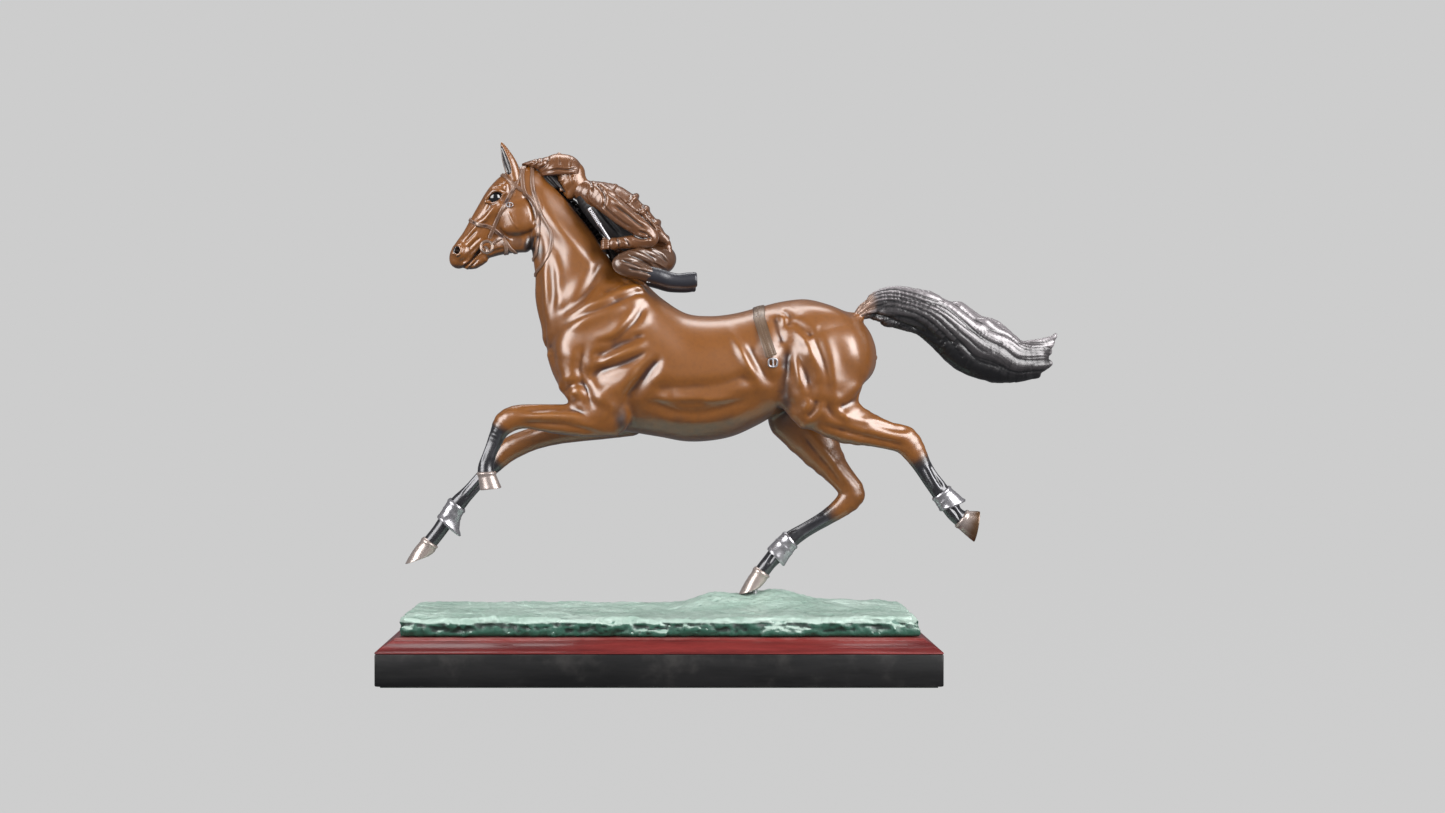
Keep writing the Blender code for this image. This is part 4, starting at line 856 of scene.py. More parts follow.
def ringsAlong(rows):
    # frames along a limb: middle, the way it runs, the way its depth runs, half depth, half width
    ways = np.gradient(rows[:, :3], axis=0)
    made = []
    for row, way in zip(rows, ways):
        way = way / np.linalg.norm(way)
        deep = np.cross((0, 1, 0), way)
        made.append((row[:3], way, deep / np.linalg.norm(deep), row[3], row[4]))
    return made


def ovalRing(middle, deepWay, deep, wide):
    # points at their depth and width from the middle
    return middle + deepWay * deep[:, None] + np.array((0, 1, 0)) * wide[:, None]


def ringQuads(count, size, closed=False):
    # quads between each ring of points and the next
    spans = [(a, a + 1) for a in range(count - 1)] + ([(count - 1, 0)] if closed else [])
    return [(a * size + k, a * size + (k + 1) % size, b * size + (k + 1) % size, b * size + k)
            for a, b in spans for k in range(size)]


def skinRings(rings, closed=False):
    # open ends are closed with a fan of quads round one point each
    size = len(rings[0])
    points = list(np.vstack(rings))
    faces = ringQuads(len(rings), size, closed)
    for a, turn in () if closed else ((0, True), (len(rings) - 1, False)):
        points.append(rings[a].mean(0))
        for k in range(0, size, 2):
            ring = [a * size + k, a * size + (k + 1) % size, a * size + (k + 2) % size]
            faces.append((*(ring[::-1] if turn else ring), len(points) - 1))
    return np.array(points), np.array(faces)


def flatEnded(rings):
    # a strip of quads lies across each flat end
    size = len(rings[0])
    faces = ringQuads(len(rings), size)
    for start, turn in ((0, True), ((len(rings) - 1) * size, False)):
        for k in range(size // 2 - 1):
            quad = (start + k, start + k + 1, start + size - 2 - k, start + size - 1 - k)
            faces.append(quad[::-1] if turn else quad)
    return np.vstack(rings), np.array(faces)


def facesOut(obj):
    bm = bmesh.new()
    bm.from_mesh(obj.data)
    bmesh.ops.recalc_face_normals(bm, faces=bm.faces)
    bm.to_mesh(obj.data)
    bm.free()


def wrap(name, points, faces, finish, nodes=None, sharp=50, **attributes):
    attributes.setdefault("hollow", np.zeros(len(points)))
    obj = makeObject(name, points, faces, finish[0], attributes=attributes)
    facesOut(obj)
    obj.data.set_sharp_from_angle(angle=math.radians(sharp))
    settle(obj, (nodeOf(name),) if nodes is None else nodes)


hoofWall = [     # share down the hoof, how far the wall stands out
    (0.0, -1.2), (0.03, 0.2), (0.07, 0.9), (0.13, 1.1), (0.18, 0.7), (0.24, 0.15), (0.34, 0.0), (0.42, 0.12),
    (0.5, 0.0),
    (0.6, 0.12), (0.7, 0.02), (0.8, 0.14), (0.9, 0.1), (0.96, 0.2), (1.0, 0.0)]
hoofSole = [(0.93, -0.2), (0.86, 0.3), (0.8, 1.4), (0.55, 1.8), (0.3, 1.6), (0.1, 1.5)]     # size, rise


def buildHoof(name):
    sole, facing, long, wide, brown = hooves[name]
    top, topWay, _, deepTop, wideTop = ringsAlong(smoothRows(legs[name], 6))[-1]
    sole, down = np.array(sole), np.array(facing) / np.linalg.norm(facing)
    start = top - topWay * 1.5
    angles = circle(48)
    # the toe is pointed, the heels are drawn in with a cleft between the bulbs
    shape = 1 + 0.04 * np.cos(angles) - 0.16 * np.exp(-((angles - math.pi) / 0.28)**2)
    rings, stains = [], []
    for share, out in hoofWall:
        way = topWay + (down - topWay) * share
        way /= np.linalg.norm(way)
        deep = deepTop + (long - deepTop) * share + out
        broad = wideTop + (wide - wideTop) * share + out
        pointed = 1 + (shape - 1) * share
        rings.append(ovalRing(start + (sole - start) * share, np.cross((0, 1, 0), way),
                              deep * np.cos(angles) * pointed, broad * np.sin(angles) * pointed))
        stains.append(brown * share)
    forward = np.cross((0, 1, 0), down)
    for scale, rise in hoofSole:
        frog = 1.3 * np.exp(-(np.abs(angles - math.pi) / 0.5)**2) * (scale < 0.8)
        rings.append(ovalRing(sole - down * (rise - frog)[:, None], forward, long * scale * np.cos(angles) * shape,
                              wide * scale * np.sin(angles) * shape))
        stains.append(0.9)
    points, faces = skinRings(rings)
    wrap(name + "Hoof", points, faces, finishes["hoof"],
         stain=np.concatenate([np.repeat(stains, len(angles)), [0, 0.9]]))


sleeve = [     # share down the sleeve, how far it stands off the leg, and how much of the flare at the back
    (0.0, 0.2, 0), (0.0, 1.0, 0), (0.04, 1.6, 0.03), (0.12, 1.7, 0.04), (0.18, 1.1, 0.05), (0.4, 1.1, 0.12),
    (0.46, 1.5, 0.16), (0.52, 1.2, 0.2), (0.66, 1.3, 0.36), (0.8, 1.5, 0.62), (0.9, 1.8, 0.85), (0.97, 2.0, 1.0),
    (1.0, 1.5, 1.0), (0.98, 0.9, 0.85), (0.9, 0.5, 0.5), (0.8, 0.2, 0.1)]


def buildSleeve(name):
    leg, first, last, flare = jointBoots[name]
    steps = 12
    frames = ringsAlong(smoothRows(legs[leg], steps)[round(first * steps):round(last * steps) + 1])
    angles = circle(48)
    back = np.clip(0.15 - np.cos(angles), 0, 1.15) / 1.15
    rings = []
    for share, off, flared in sleeve:
        middle, way, deep, halfDeep, halfWide = frames[round(share * (len(frames) - 1))]
        flared *= flare
        rings.append(ovalRing(middle, deep, (halfDeep + off + flared * back) * np.cos(angles),
                              (halfWide + off + 0.25 * flared) * np.sin(angles)) + way * (0.35 * flared * back)[:,
                                                                                                                None])
    wrap(name, *skinRings(rings, True), finishes["pewter"])


for name in legs:
    point, way = legTurn(name)
    sculpt(name + "Cannon", Form().add(legs[name][2:]).sink(point, -way, 6.0, 60.0), cannonStep, finishes["dark"],
           lines=tendons[name], facing=0.0)
    buildHoof(name)
for name in jointBoots:
    buildSleeve(name)


# the tail and the mane
tail = {
    "step": 1.6,
    "rows": [(165, 0, 296.5, 4.2, 4.2), (170, 0, 301, 5.5, 5), (176, 0, 304.5, 8, 6.5), (186, 0, 307, 12.5, 8.5),
             (200, 0, 306.5, 16, 10.5), (220, 0, 301.5, 18, 12), (240, 0, 288.5, 20, 13), (260, 0, 273, 22.5, 13),
             (280, 0, 266, 22.5, 12), (297, 0, 260.5, 17, 10), (312, 0, 262, 13, 8)],
    "tufts": [
        ([(250, 3, 302, 8, 6), (266, 4, 291, 8, 6), (281, 3, 289, 5.5, 4), (294, 1, 279, 2.5, 2)], 4.0),
        ([(270, -4, 288, 8, 5), (292, -3, 272, 6, 4), (312, -1, 271.5, 6.5, 4), (323, 0, 274.5, 5.5, 2.8),
          (328.5, 0, 279, 2.8, 1.8), (331.6, 0, 283.6, 0.9, 0.9)], 3.0),
        ([(300, 3, 266, 7, 5), (316, 2, 266, 5, 4), (326, 1, 268, 2, 1.8)], 3.0),
        ([(296, -3, 256, 8, 5), (314, -2, 255, 6, 4), (326, -1, 259, 2.4, 2)], 3.0),
        ([(280, 2, 250, 7, 5), (298, 2, 248.5, 5.5, 4), (316, 1, 249, 2.5, 2)], 3.0),
        ([(190, -3, 297, 7, 5), (212, -4, 291, 7, 5), (228, -3, 279, 3, 2)], 3.0),
    ],
    "locks": ((2.7, 2.6, 0.24), (6.2, 1.1, -0.34), (13.0, 0.35, 0.36)),   # locks across, depth, how far they wander
}


def combTail(points, quads):
    # locks run down the tail, wandering and crossing as they go
    line = smoothRows(tail["rows"], 6)
    spots = points[:, [0, 2]]
    best, place = np.full(len(points), 1e9), np.zeros(len(points), int)
    for k, row in enumerate(line):
        far = (spots[:, 0] - row[0])**2 + (spots[:, 1] - row[2])**2
        closer = far < best
        best[closer], place[closer] = far[closer], k
    ways = np.gradient(line[:, [0, 2]], axis=0)
    ways /= np.linalg.norm(ways, axis=1)[:, None]
    rel = spots - line[place][:, [0, 2]]
    across = (rel[:, 1] * ways[place, 0] - rel[:, 0] * ways[place, 1]) / line[place, 3]
    along = place / len(line)
    normals = pointNormals(points, quads)
    height = np.zeros(len(points))
    drift = 0.16 * waves(points * (1, 0.4, 1), 60, 3)
    for count, depth, wander in tail["locks"]:
        phase = across + drift + wander * np.sin(along * 9 + across * 2 + points[:, 1] * 0.12) + points[:, 1] * 0.03
        ridge = np.abs(np.sin(phase * count * 1.4))**0.75
        height += depth * (ridge - 0.62)
    grown = np.clip((along - 0.03) / 0.12, 0.12, 1) * np.clip(1.25 - along, 0.35, 1)
    return points + normals * (height * grown)[:, None]


def tailStain(points, normals):
    return np.clip((186 - points[:, 0]) / 16, 0, 1) * np.clip((points[:, 2] - 292) / 12, 0, 1)


def tailShade(points):
    # painted highlight along the top, painted shade underneath
    line = smoothRows(tail["rows"], 6)
    return 0.12 - 0.55 * (points[:, 2] - np.interp(points[:, 0], line[:, 0], line[:, 2])) / 20


tailForm = Form().add(tail["rows"])
for rows, reach in tail["tufts"]:
    tailForm.add(rows, reach)
sculpt("tail", tailForm, tail["step"], finishes["hair"], ("tail_casting",), work=combTail, stain=tailStain,
       shade=tailShade)


class Tree(Nodes):
    # a geometry node tree and its named inputs
    def __init__(self, name, sockets):
        self.tree = bpy.data.node_groups.new(name, "GeometryNodeTree")
        super().__init__(self.tree)
        self.sockets = {}
        for key, kind in {"Geometry": "Geometry", **sockets}.items():
            self.sockets[key] = self.tree.interface.new_socket(key, in_out="INPUT", socket_type="NodeSocket" + kind)
        self.tree.interface.new_socket("Geometry", in_out="OUTPUT", socket_type="NodeSocketGeometry")
        self.inputs, self.outputs = self.nodes.new("NodeGroupInput"), self.nodes.new("NodeGroupOutput")

    def input(self, key):
        return Value(self, self.inputs.outputs[key])

    def attribute(self, name, kind="FLOAT"):
        return self.node("GeometryNodeInputNamedAttribute", {"data_type": kind}, {"Name": name})

    def finish(self, geometry):
        real = self.node("GeometryNodeRealizeInstances", inputs={"Geometry": geometry})
        dressed = self.node("GeometryNodeSetMaterial", inputs={"Geometry": real, "Material": self.input("Finish")})
        self.links.new(dressed.socket, self.outputs.inputs["Geometry"])
        return self


def laidStripTree():
    # a strip swept along guides; its profile goes from round to boxy and may be ribbed
    t = Tree("laidStrip", {"Width": "Float", "Thickness": "Float", "Boxiness": "Float", "Ribs": "Float",
                           "Rib Depth": "Float", "Sides": "Int", "Finish": "Material"})
    curve = t.node("GeometryNodeMeshToCurve", inputs={"Mesh": t.input("Geometry")})
    curve = t.node("GeometryNodeSetCurveNormal", {"mode": "FREE"},
                   {"Curve": curve, "Normal": t.attribute("facing", "FLOAT_VECTOR")})
    ring = t.node("GeometryNodeCurvePrimitiveCircle", inputs={"Resolution": t.input("Sides"), "Radius": 1.0})
    place = t.node("GeometryNodeInputPosition")
    apart = t.node("ShaderNodeSeparateXYZ", inputs={"Vector": place}).socket.node
    x, y = Value(t, apart.outputs["X"]), Value(t, apart.outputs["Y"])
    ribs = y.maths("ARCTAN2", y, x) * t.input("Ribs")
    ribs = ribs.maths("COSINE", ribs)
    swell = 1 - t.input("Rib Depth") * (0.5 - ribs * 0.5)
    power = 1 - t.input("Boxiness")

    def boxed(value, size):
        return value.maths("SIGN", value) * value.maths("ABSOLUTE", value)**power * size * 0.5 * swell
    moved = t.node("ShaderNodeCombineXYZ",
                   inputs={"X": boxed(x, t.input("Thickness")), "Y": boxed(y, t.input("Width"))})
    ring = t.node("GeometryNodeSetPosition", inputs={"Geometry": ring, "Position": moved})
    strip = t.node("GeometryNodeCurveToMesh", inputs={"Curve": curve, "Profile Curve": ring,
                                                      "Scale": t.attribute("size"), "Fill Caps": True})
    return t.finish(t.node("GeometryNodeSetShadeSmooth", inputs={"Geometry": strip}))


def stitchTree():
    # raised stitches in two rows along a strip
    t = Tree("stitches", {"Width": "Float", "Lift": "Float", "Spacing": "Float", "Size": "Float", "Finish": "Material"})
    curve = t.node("GeometryNodeMeshToCurve", inputs={"Mesh": t.input("Geometry")})
    curve = t.node("GeometryNodeResampleCurve", {"mode": "LENGTH"}, {"Curve": curve, "Length": t.input("Spacing")})
    facing = t.attribute("facing", "FLOAT_VECTOR")
    tangent = t.node("GeometryNodeInputTangent")
    across = t.node("ShaderNodeVectorMath", {"operation": "CROSS_PRODUCT"}, {0: tangent, 1: facing})
    turn = t.node("FunctionNodeAxesToRotation", {"primary_axis": "X", "secondary_axis": "Z"},
                  {"Primary Axis": tangent, "Secondary Axis": facing})
    stitch = t.node("GeometryNodeMeshIcoSphere", inputs={"Radius": t.input("Size"), "Subdivisions": 1})
    stitch = t.node("GeometryNodeTransform", inputs={"Geometry": stitch, "Scale": (1.9, 0.8, 0.7)})
    join = t.nodes.new("GeometryNodeJoinGeometry")
    for side in (left, right):
        lift = t.node("ShaderNodeVectorMath", {"operation": "SCALE"}, {0: facing, "Scale": t.input("Lift")})
        slide = t.node("ShaderNodeVectorMath", {"operation": "SCALE"}, {0: across, "Scale": t.input("Width") * side})
        offset = t.node("ShaderNodeVectorMath", {"operation": "ADD"}, {0: lift, 1: slide})
        row = t.node("GeometryNodeSetPosition", inputs={"Geometry": curve, "Offset": offset})
        row = t.node("GeometryNodeInstanceOnPoints", inputs={"Points": row, "Instance": stitch, "Rotation": turn})
        t.links.new(row.socket, join.inputs[0])
    return t.finish(Value(t, join.outputs[0]))


laidStrip, stitches = laidStripTree(), stitchTree()


def guideMesh(name, guides):
    # guides: (points, facings, sizes, closed)
    points, edges, facings, sizes = [], [], [], []
    for path, facing, size, closed in guides:
        start, count = len(points), len(path)
        points += list(np.asarray(path, float) * mm)
        facings += list(facing)
        sizes += list(size)
        edges += [(start + k,
                   start + k + 1) for k in range(count - 1)] + ([(start + count - 1, start)] if closed else [])
    mesh = bpy.data.meshes.new(name)
    mesh.from_pydata([tuple(p) for p in points], edges, [])
    mesh.attributes.new("facing", "FLOAT_VECTOR", "POINT").data.foreach_set("vector", np.array(facings, float).ravel())
    mesh.attributes.new("size", "FLOAT", "POINT").data.foreach_set("value", np.array(sizes, float))
    obj = bpy.data.objects.new(name, mesh)
    bpy.context.scene.collection.objects.link(obj)
    return obj


def runTree(obj, tree, values):
    modifier = obj.modifiers.new(tree.tree.name, "NODES")
    modifier.node_group = tree.tree
    for key, value in values.items():
        modifier[tree.sockets[key].identifier] = value
    graph = bpy.context.evaluated_depsgraph_get()
    mesh = bpy.data.meshes.new_from_object(obj.evaluated_get(graph), depsgraph=graph)
    obj.modifiers.remove(modifier)
    obj.data = mesh
    if not len(mesh.materials):
        mesh.materials.append(values["Finish"])
    facesOut(obj)
    return obj


def swept(name, guides, width, thickness, finish, nodes=None, boxiness=0.0, ribs=0, depth=0.0, sides=16):
    obj = runTree(guideMesh(name, guides), laidStrip, {
        "Width": width * mm, "Thickness": thickness * mm, "Boxiness": boxiness, "Ribs": float(ribs), "Rib Depth": depth,
        "Sides": sides, "Finish": finish[0]})
    if not len(obj.data.polygons):
        raise RuntimeError(name + " came out empty")
    shadeHollow(obj)
    settle(obj, (nodeOf(name),) if nodes is None else nodes)


def sew(name, guides, width, lift, spacing, size, finish):
    sewn = runTree(guideMesh(name, guides), stitches, {
        "Width": width * mm, "Lift": lift * mm, "Spacing": spacing * mm, "Size": size * mm, "Finish": finish[0]})
    shadeHollow(sewn)
    settle(sewn, ())


def shadeHollow(obj):
    # how deep each point lies between its neighbours, for the finish
    mesh = obj.data
    count = len(mesh.vertices)
    points, normals = np.empty(count * 3, np.float32), np.empty(count * 3, np.float32)
    mesh.vertices.foreach_get("co", points)
    mesh.vertices.foreach_get("normal", normals)
    edges = np.empty(len(mesh.edges) * 2, np.int32)
    mesh.edges.foreach_get("vertices", edges)
    points, normals, edges = points.reshape(-1, 3) / mm, normals.reshape(-1, 3), edges.reshape(-1, 2)
    edges = np.vstack([edges, edges[:, ::-1]])
    degree = np.bincount(edges[:, 0], minlength=count).clip(1)
    soft = points
    for _ in range(4):
        soft = np.stack([np.bincount(edges[:, 0], weights=soft[edges[:, 1], k], minlength=count) for k in range(3)],
                        1) / degree[:, None]
    layer = mesh.attributes.get("hollow") or mesh.attributes.new("hollow", "FLOAT", "POINT")
    layer.data.foreach_set("value", (((soft - points) * normals).sum(1) + 0.15).astype(np.float32))
    mesh.shade_smooth()


def skinTree(*names):
    points, quads, start = [], [], 0
    for name in names:
        points.append(skins[name][0])
        quads.append(skins[name][1] + start)
        start += len(skins[name][0])
    return BVHTree.FromPolygons(np.vstack(points).tolist(), np.vstack(quads).tolist())


def besides(path, closed):
    # the points before and after each point of a path
    before, after = np.roll(path, 1, 0), np.roll(path, -1, 0)
    if not closed:
        before[0], after[-1] = path[0], path[-1]
    return before + after


def layOn(tree, path, lift, closed=False, steps=8, soften=6):
    # a path drawn near a skin, laid on it: first along y, then to the nearest point as it is eased
    path = np.array(path, float)
    path = smoothRows(np.vstack([path, path[:1]]), steps)[:-1] if closed else smoothRows(path, steps)
    facings = np.zeros_like(path)
    for turn in range(soften):
        for k, point in enumerate(path):
            side = math.copysign(1, point[1])
            hit = (None,)
            if turn == 0:
                hit = tree.ray_cast(Vector((point[0], 80 * side, point[2])), Vector((0, -side, 0)))
            missed = hit[0] is None or abs(point[1]) < 6 or abs(hit[1].y) < 0.35
            found, normal = tree.find_nearest(Vector(point))[:2] if missed else hit[:2]
            path[k], facings[k] = np.array(found) + np.array(normal) * lift, normal
        if turn < soften - 1:
            path = 0.5 * path + 0.25 * besides(path, closed)
    for _ in range(3):
        facings = facings + 0.8 * besides(facings, closed)
        facings /= np.linalg.norm(facings, axis=1)[:, None]
    return path, facings


# the mane: a bed on the right of the neck, locks that hang over it and locks that fly back
mane = {
    "crest": [(-114, 0, 421), (-105, 0, 417), (-95, 0, 411), (-85, 0, 402.5), (-75, 0, 391.5), (-65, 0, 379),
              (-55, 0, 366), (-47, 0, 354.5)],
    "bed": [(-112, 2, 418, 3, 3), (-102, 5, 411, 6, 4), (-90, 8.5, 400, 8, 4.5), (-78, 11.5, 385, 9, 5),
            (-66, 14, 369, 9, 5), (-56, 14, 355, 7, 4), (-49, 12, 346, 3, 2.5)],
    "hanging": 30, "flying": 12, "width": 4.6, "thickness": 2.6,
}


def buildMane():
    random = np.random.default_rng(12)
    crest = smoothRows(mane["crest"], 8)
    guides = []
    for k in range(mane["hanging"]):
        root = crest[int((k + 0.5) / mane["hanging"] * (len(crest) - 1))] + (0, 1.5, 0.6)
        share = k / mane["hanging"]
        out, long = 9 + 8 * share + random.uniform(-1.5, 1.5), random.uniform(22, 34)
        sway = random.uniform(4, 10)
        path = [root, root + (2 + sway * 0.2, out * 0.45, 1.8), root + (5 + sway * 0.6, out * 0.85, -long * 0.25),
                root + (9 + sway, out * 1.12 + 1.5, -long * 0.6), root + (15 + sway * 1.4, out * 1.2 + 2, -long * 0.85),
                root + (21 + sway * 1.3, out * 1.15 + 3.2, -long * 0.86 + random.uniform(-3, 3))]
        guides.append(lockGuide(path, (0, 0.8, 0.6), random))
    for k in range(mane["flying"]):
        start = crest[int(k / mane["flying"] * len(crest) * 0.45)]
        root = start + (0, random.uniform(-1.2, 2), 1.0)
        long, rise = random.uniform(16, 30), random.uniform(0.5, 3.5)
        side = random.uniform(-3.5, 2)
        path = [root, root + (long * 0.25, side * 0.4, 1.2 + rise),
                root + (long * 0.5, side * 0.8, -long * 0.12 + rise),
                root + (long * 0.78, side, -long * 0.42 + rise * 0.8),
                root + (long, side * 0.7, -long * 0.62 + rise * 0.5),
                root + (long * 1.1, side * 0.5, -long * 0.6 + rise * 1.4)]
        guides.append(lockGuide(path, (0, -0.5, 0.85), random))
    sculpt("maneBed", Form().add(mane["bed"]), 1.6, finishes["hair"], ("mane",), rounds=8)
    swept("maneLocks", guides, mane["width"], mane["thickness"], finishes["hair"], (), ribs=6, depth=0.3, sides=24)


def lockGuide(path, facing, random):
    rows = smoothRows(path, 7)
    share = np.linspace(0, 1, len(rows))
    rows[:, 1] += np.sin(share * 9 + random.uniform(0, 6)) * 0.5 * share
    size = np.sin(np.clip(share * 1.15 + 0.12, 0, 1) * math.pi * 0.5) * np.clip((1 - share) * 2.6, 0.1, 1)
    facing = np.array(facing) / np.linalg.norm(facing)
    turn = random.uniform(-0.5, 0.5) + share * random.uniform(-1, 1)
    turned = np.stack([np.sin(turn) * 0.5, facing[1] + 0 * turn, facing[2] + 0 * turn], 1)
    return rows, turned / np.linalg.norm(turned, axis=1)[:, None], size, False


buildMane()


# the bridle, neck strap and loin strap
cheekpiece = [(-119.6, -20, 404.5), (-123, -20, 398.5), (-129, -20, 387), (-135, -20, 375.5), (-141.3, -18, 361.5)]
bridle = {
    "width": 3.1, "thickness": 1.4, "lift": 0.4,
    "straps": {     # each is mirrored where it meets the middle
        "crownpiece": [(-113.3, 0, 430), (-113.6, -9, 427), (-116.4, -18, 413), (-119, -20, 405.5), (-121.5, -20, 401)],
        "throatlatch": [
            (-111.5, 0, 429), (-112, -9, 426), (-113.4, -18, 412), (-111.2, -20, 399.5), (-105.2, -23, 394.2),
            (-101.6, -24, 387.5), (-100, -23, 378), (-99.8, -20, 366), (-101, -15, 354), (-103.5, -8, 346.5),
            (-105.5, 0, 345)],
        "neckStrap": [
            (-105, 0, 425), (-105.5, -11, 420), (-105, -19, 406), (-102.5, -23, 395), (-98.5, -25, 383.5),
            (-93.5, -26, 374.5), (-89, -26, 365), (-90, -24, 352), (-97, -15, 339), (-104, -7, 333), (-106, 0, 332)],
        "browband": [(-113, -18, 401.5), (-118, -19, 404.8), (-124.4, -17, 410.8), (-129, -11, 414.5), (-132, 0, 417)],
        "noseband": [
            (-158, 0, 379), (-157, -8, 377), (-150, -16, 373.6), (-140, -18, 371.4), (-131, -18, 364), (-123, -13, 353),
            (-119, 0, 347)],
        "curbStrap": [(-138.5, -15, 357), (-134, -14, 361), (-129.5, -13, 362.5), (-127, -10, 355), (-127.5, 0, 346)],
        "leftCheekpiece": cheekpiece,
        "rightCheekpiece": mirrored(cheekpiece, right),
    },
    "bit": {"at": (-142.5, 14.4, 354.6), "radius": 4.7, "wire": 2.5},
    "buckle": (-124.6, 392.5),
}
loinStrap = {
    "width": 9.5, "thickness": 1.6, "lift": 0.5,
    "path": [(80, 0, 318), (79.5, -24, 314), (82, -44, 296), (87, -56, 276), (91.6, -56, 262.3)],
    "buckle": (93, 256.6),
}


def overTheMiddle(path):
    # the whole strap from its left half, and whether it closes on itself
    path = [tuple(p) for p in path]
    other = [(x, -y, z) for x, y, z in path[::-1]]
    starts, ends = path[0][1] == 0, path[-1][1] == 0
    if starts and ends:
        return path[:-1] + other[:-1], True
    if starts:
        return other[:-1] + path, False
    if ends:
        return path[:-1] + other, False
    return path, False


def wire(tree, middle, outline, lift, size, closed):
    # a small outline laid flat on the skin at a place given in the side view
    found, normal, _, _ = tree.find_nearest(Vector(middle))
    normal = np.array(normal)
    side = np.cross(normal, (0, 0, 1))
    side /= np.linalg.norm(side)
    up = np.cross(side, normal)
    path = [np.array(found) + normal * lift + side * u + up * w for u, w in outline]
    return path, [normal] * len(path), np.ones(len(path)) * size, closed


def squared(value, power):
    return math.copysign(abs(value)**power, value)


def buildBridle():
    tree = skinTree("head", "body")
    for name, path in bridle["straps"].items():
        whole, closed = overTheMiddle(path)
        laid, facings = layOn(tree, whole, bridle["lift"], closed)
        guides = [(laid, facings, np.ones(len(laid)), closed)]
        swept(name, guides, bridle["width"], bridle["thickness"], finishes["strap"], boxiness=0.35, sides=20)
        sew(name + "Stitches", guides, bridle["width"] * 0.33, bridle["thickness"] * 0.45, 1.3, 0.26, finishes["strap"])
    angles = circle(40)
    x, y, z = bridle["bit"]["at"]
    radius, girth = bridle["bit"]["radius"], bridle["bit"]["wire"]
    rim = [(2.3 * math.cos(a) * (1.18 if abs(math.cos(a)) > 0.3 else 1), 2.1 * math.sin(a)) for a in angles[::2]]
    for name, side in (("left", left), ("right", right)):
        ring = np.stack([x + radius * np.cos(angles), side * y + 0.6 * np.sin(angles), z + radius * np.sin(angles)], 1)
        joint = smoothRows([(x + 0.6, side * (y + 1.3), z - 4.6), (x + 0.2, side * (y + 0.4), z - 1.8),
                            (x - 1.4, side * (y - 2.2), z + 0.4), (x - 3, side * (y - 6), z + 0.8)], 6)
        guides = [(ring, [(0, side, 0)] * len(ring), np.ones(len(ring)), True),
                  (joint, [(0, side, 0.3)] * len(joint), np.linspace(1.25, 0.9, len(joint)), False)]
        swept(name + "BitRing", guides, girth, girth, finishes["bit"], sides=14)
        bx, bz = bridle["buckle"]
        buckle = [wire(tree, (bx, side * 25, bz), rim, 1.3, 1, True),
                  wire(tree, (bx, side * 25, bz), [(0, -2.2), (0, 0), (0, 2.4)], 1.6, 0.8, False)]
        swept(name + "BridleBuckles", buckle, 0.8, 0.8, finishes["pewter"], (), sides=10)
    body = skinTree("body")
    laid, facings = layOn(body, overTheMiddle(loinStrap["path"])[0], loinStrap["lift"])
    share = np.linspace(0, 1, len(laid))
    ends = np.clip(np.minimum(share, 1 - share) * 14 + 0.75, 0, 1)
    guides = [(laid, facings, ends, False)]
    swept("loinStrap", guides, loinStrap["width"], loinStrap["thickness"], finishes["loin"], ("back_strap",), 0.5, 12,
          0.16, 72)
    sew("loinStitches", guides, 1.1, loinStrap["thickness"] * 0.46, 1.7, 0.42, finishes["loin"])
    x, z = loinStrap["buckle"]
    rim = [(3.6 * squared(math.cos(a), 0.6), 3.2 * squared(math.sin(a), 0.6)) for a in angles]
    buckles = []
    for side in (left, right):
        buckles += [wire(body, (x, side * 60, z), rim, 1.0, 1, True),
                    wire(body, (x, side * 60, z), [(-0.3, -3.6), (0, 0), (0.4, 4.2)], 1.5, 0.9, False)]
    swept("loinBuckle", buckles, 1.5, 1.3, finishes["pewter"], ("back_strap_buckle",), 0.3, sides=14)


buildBridle()
print("bridle laid")


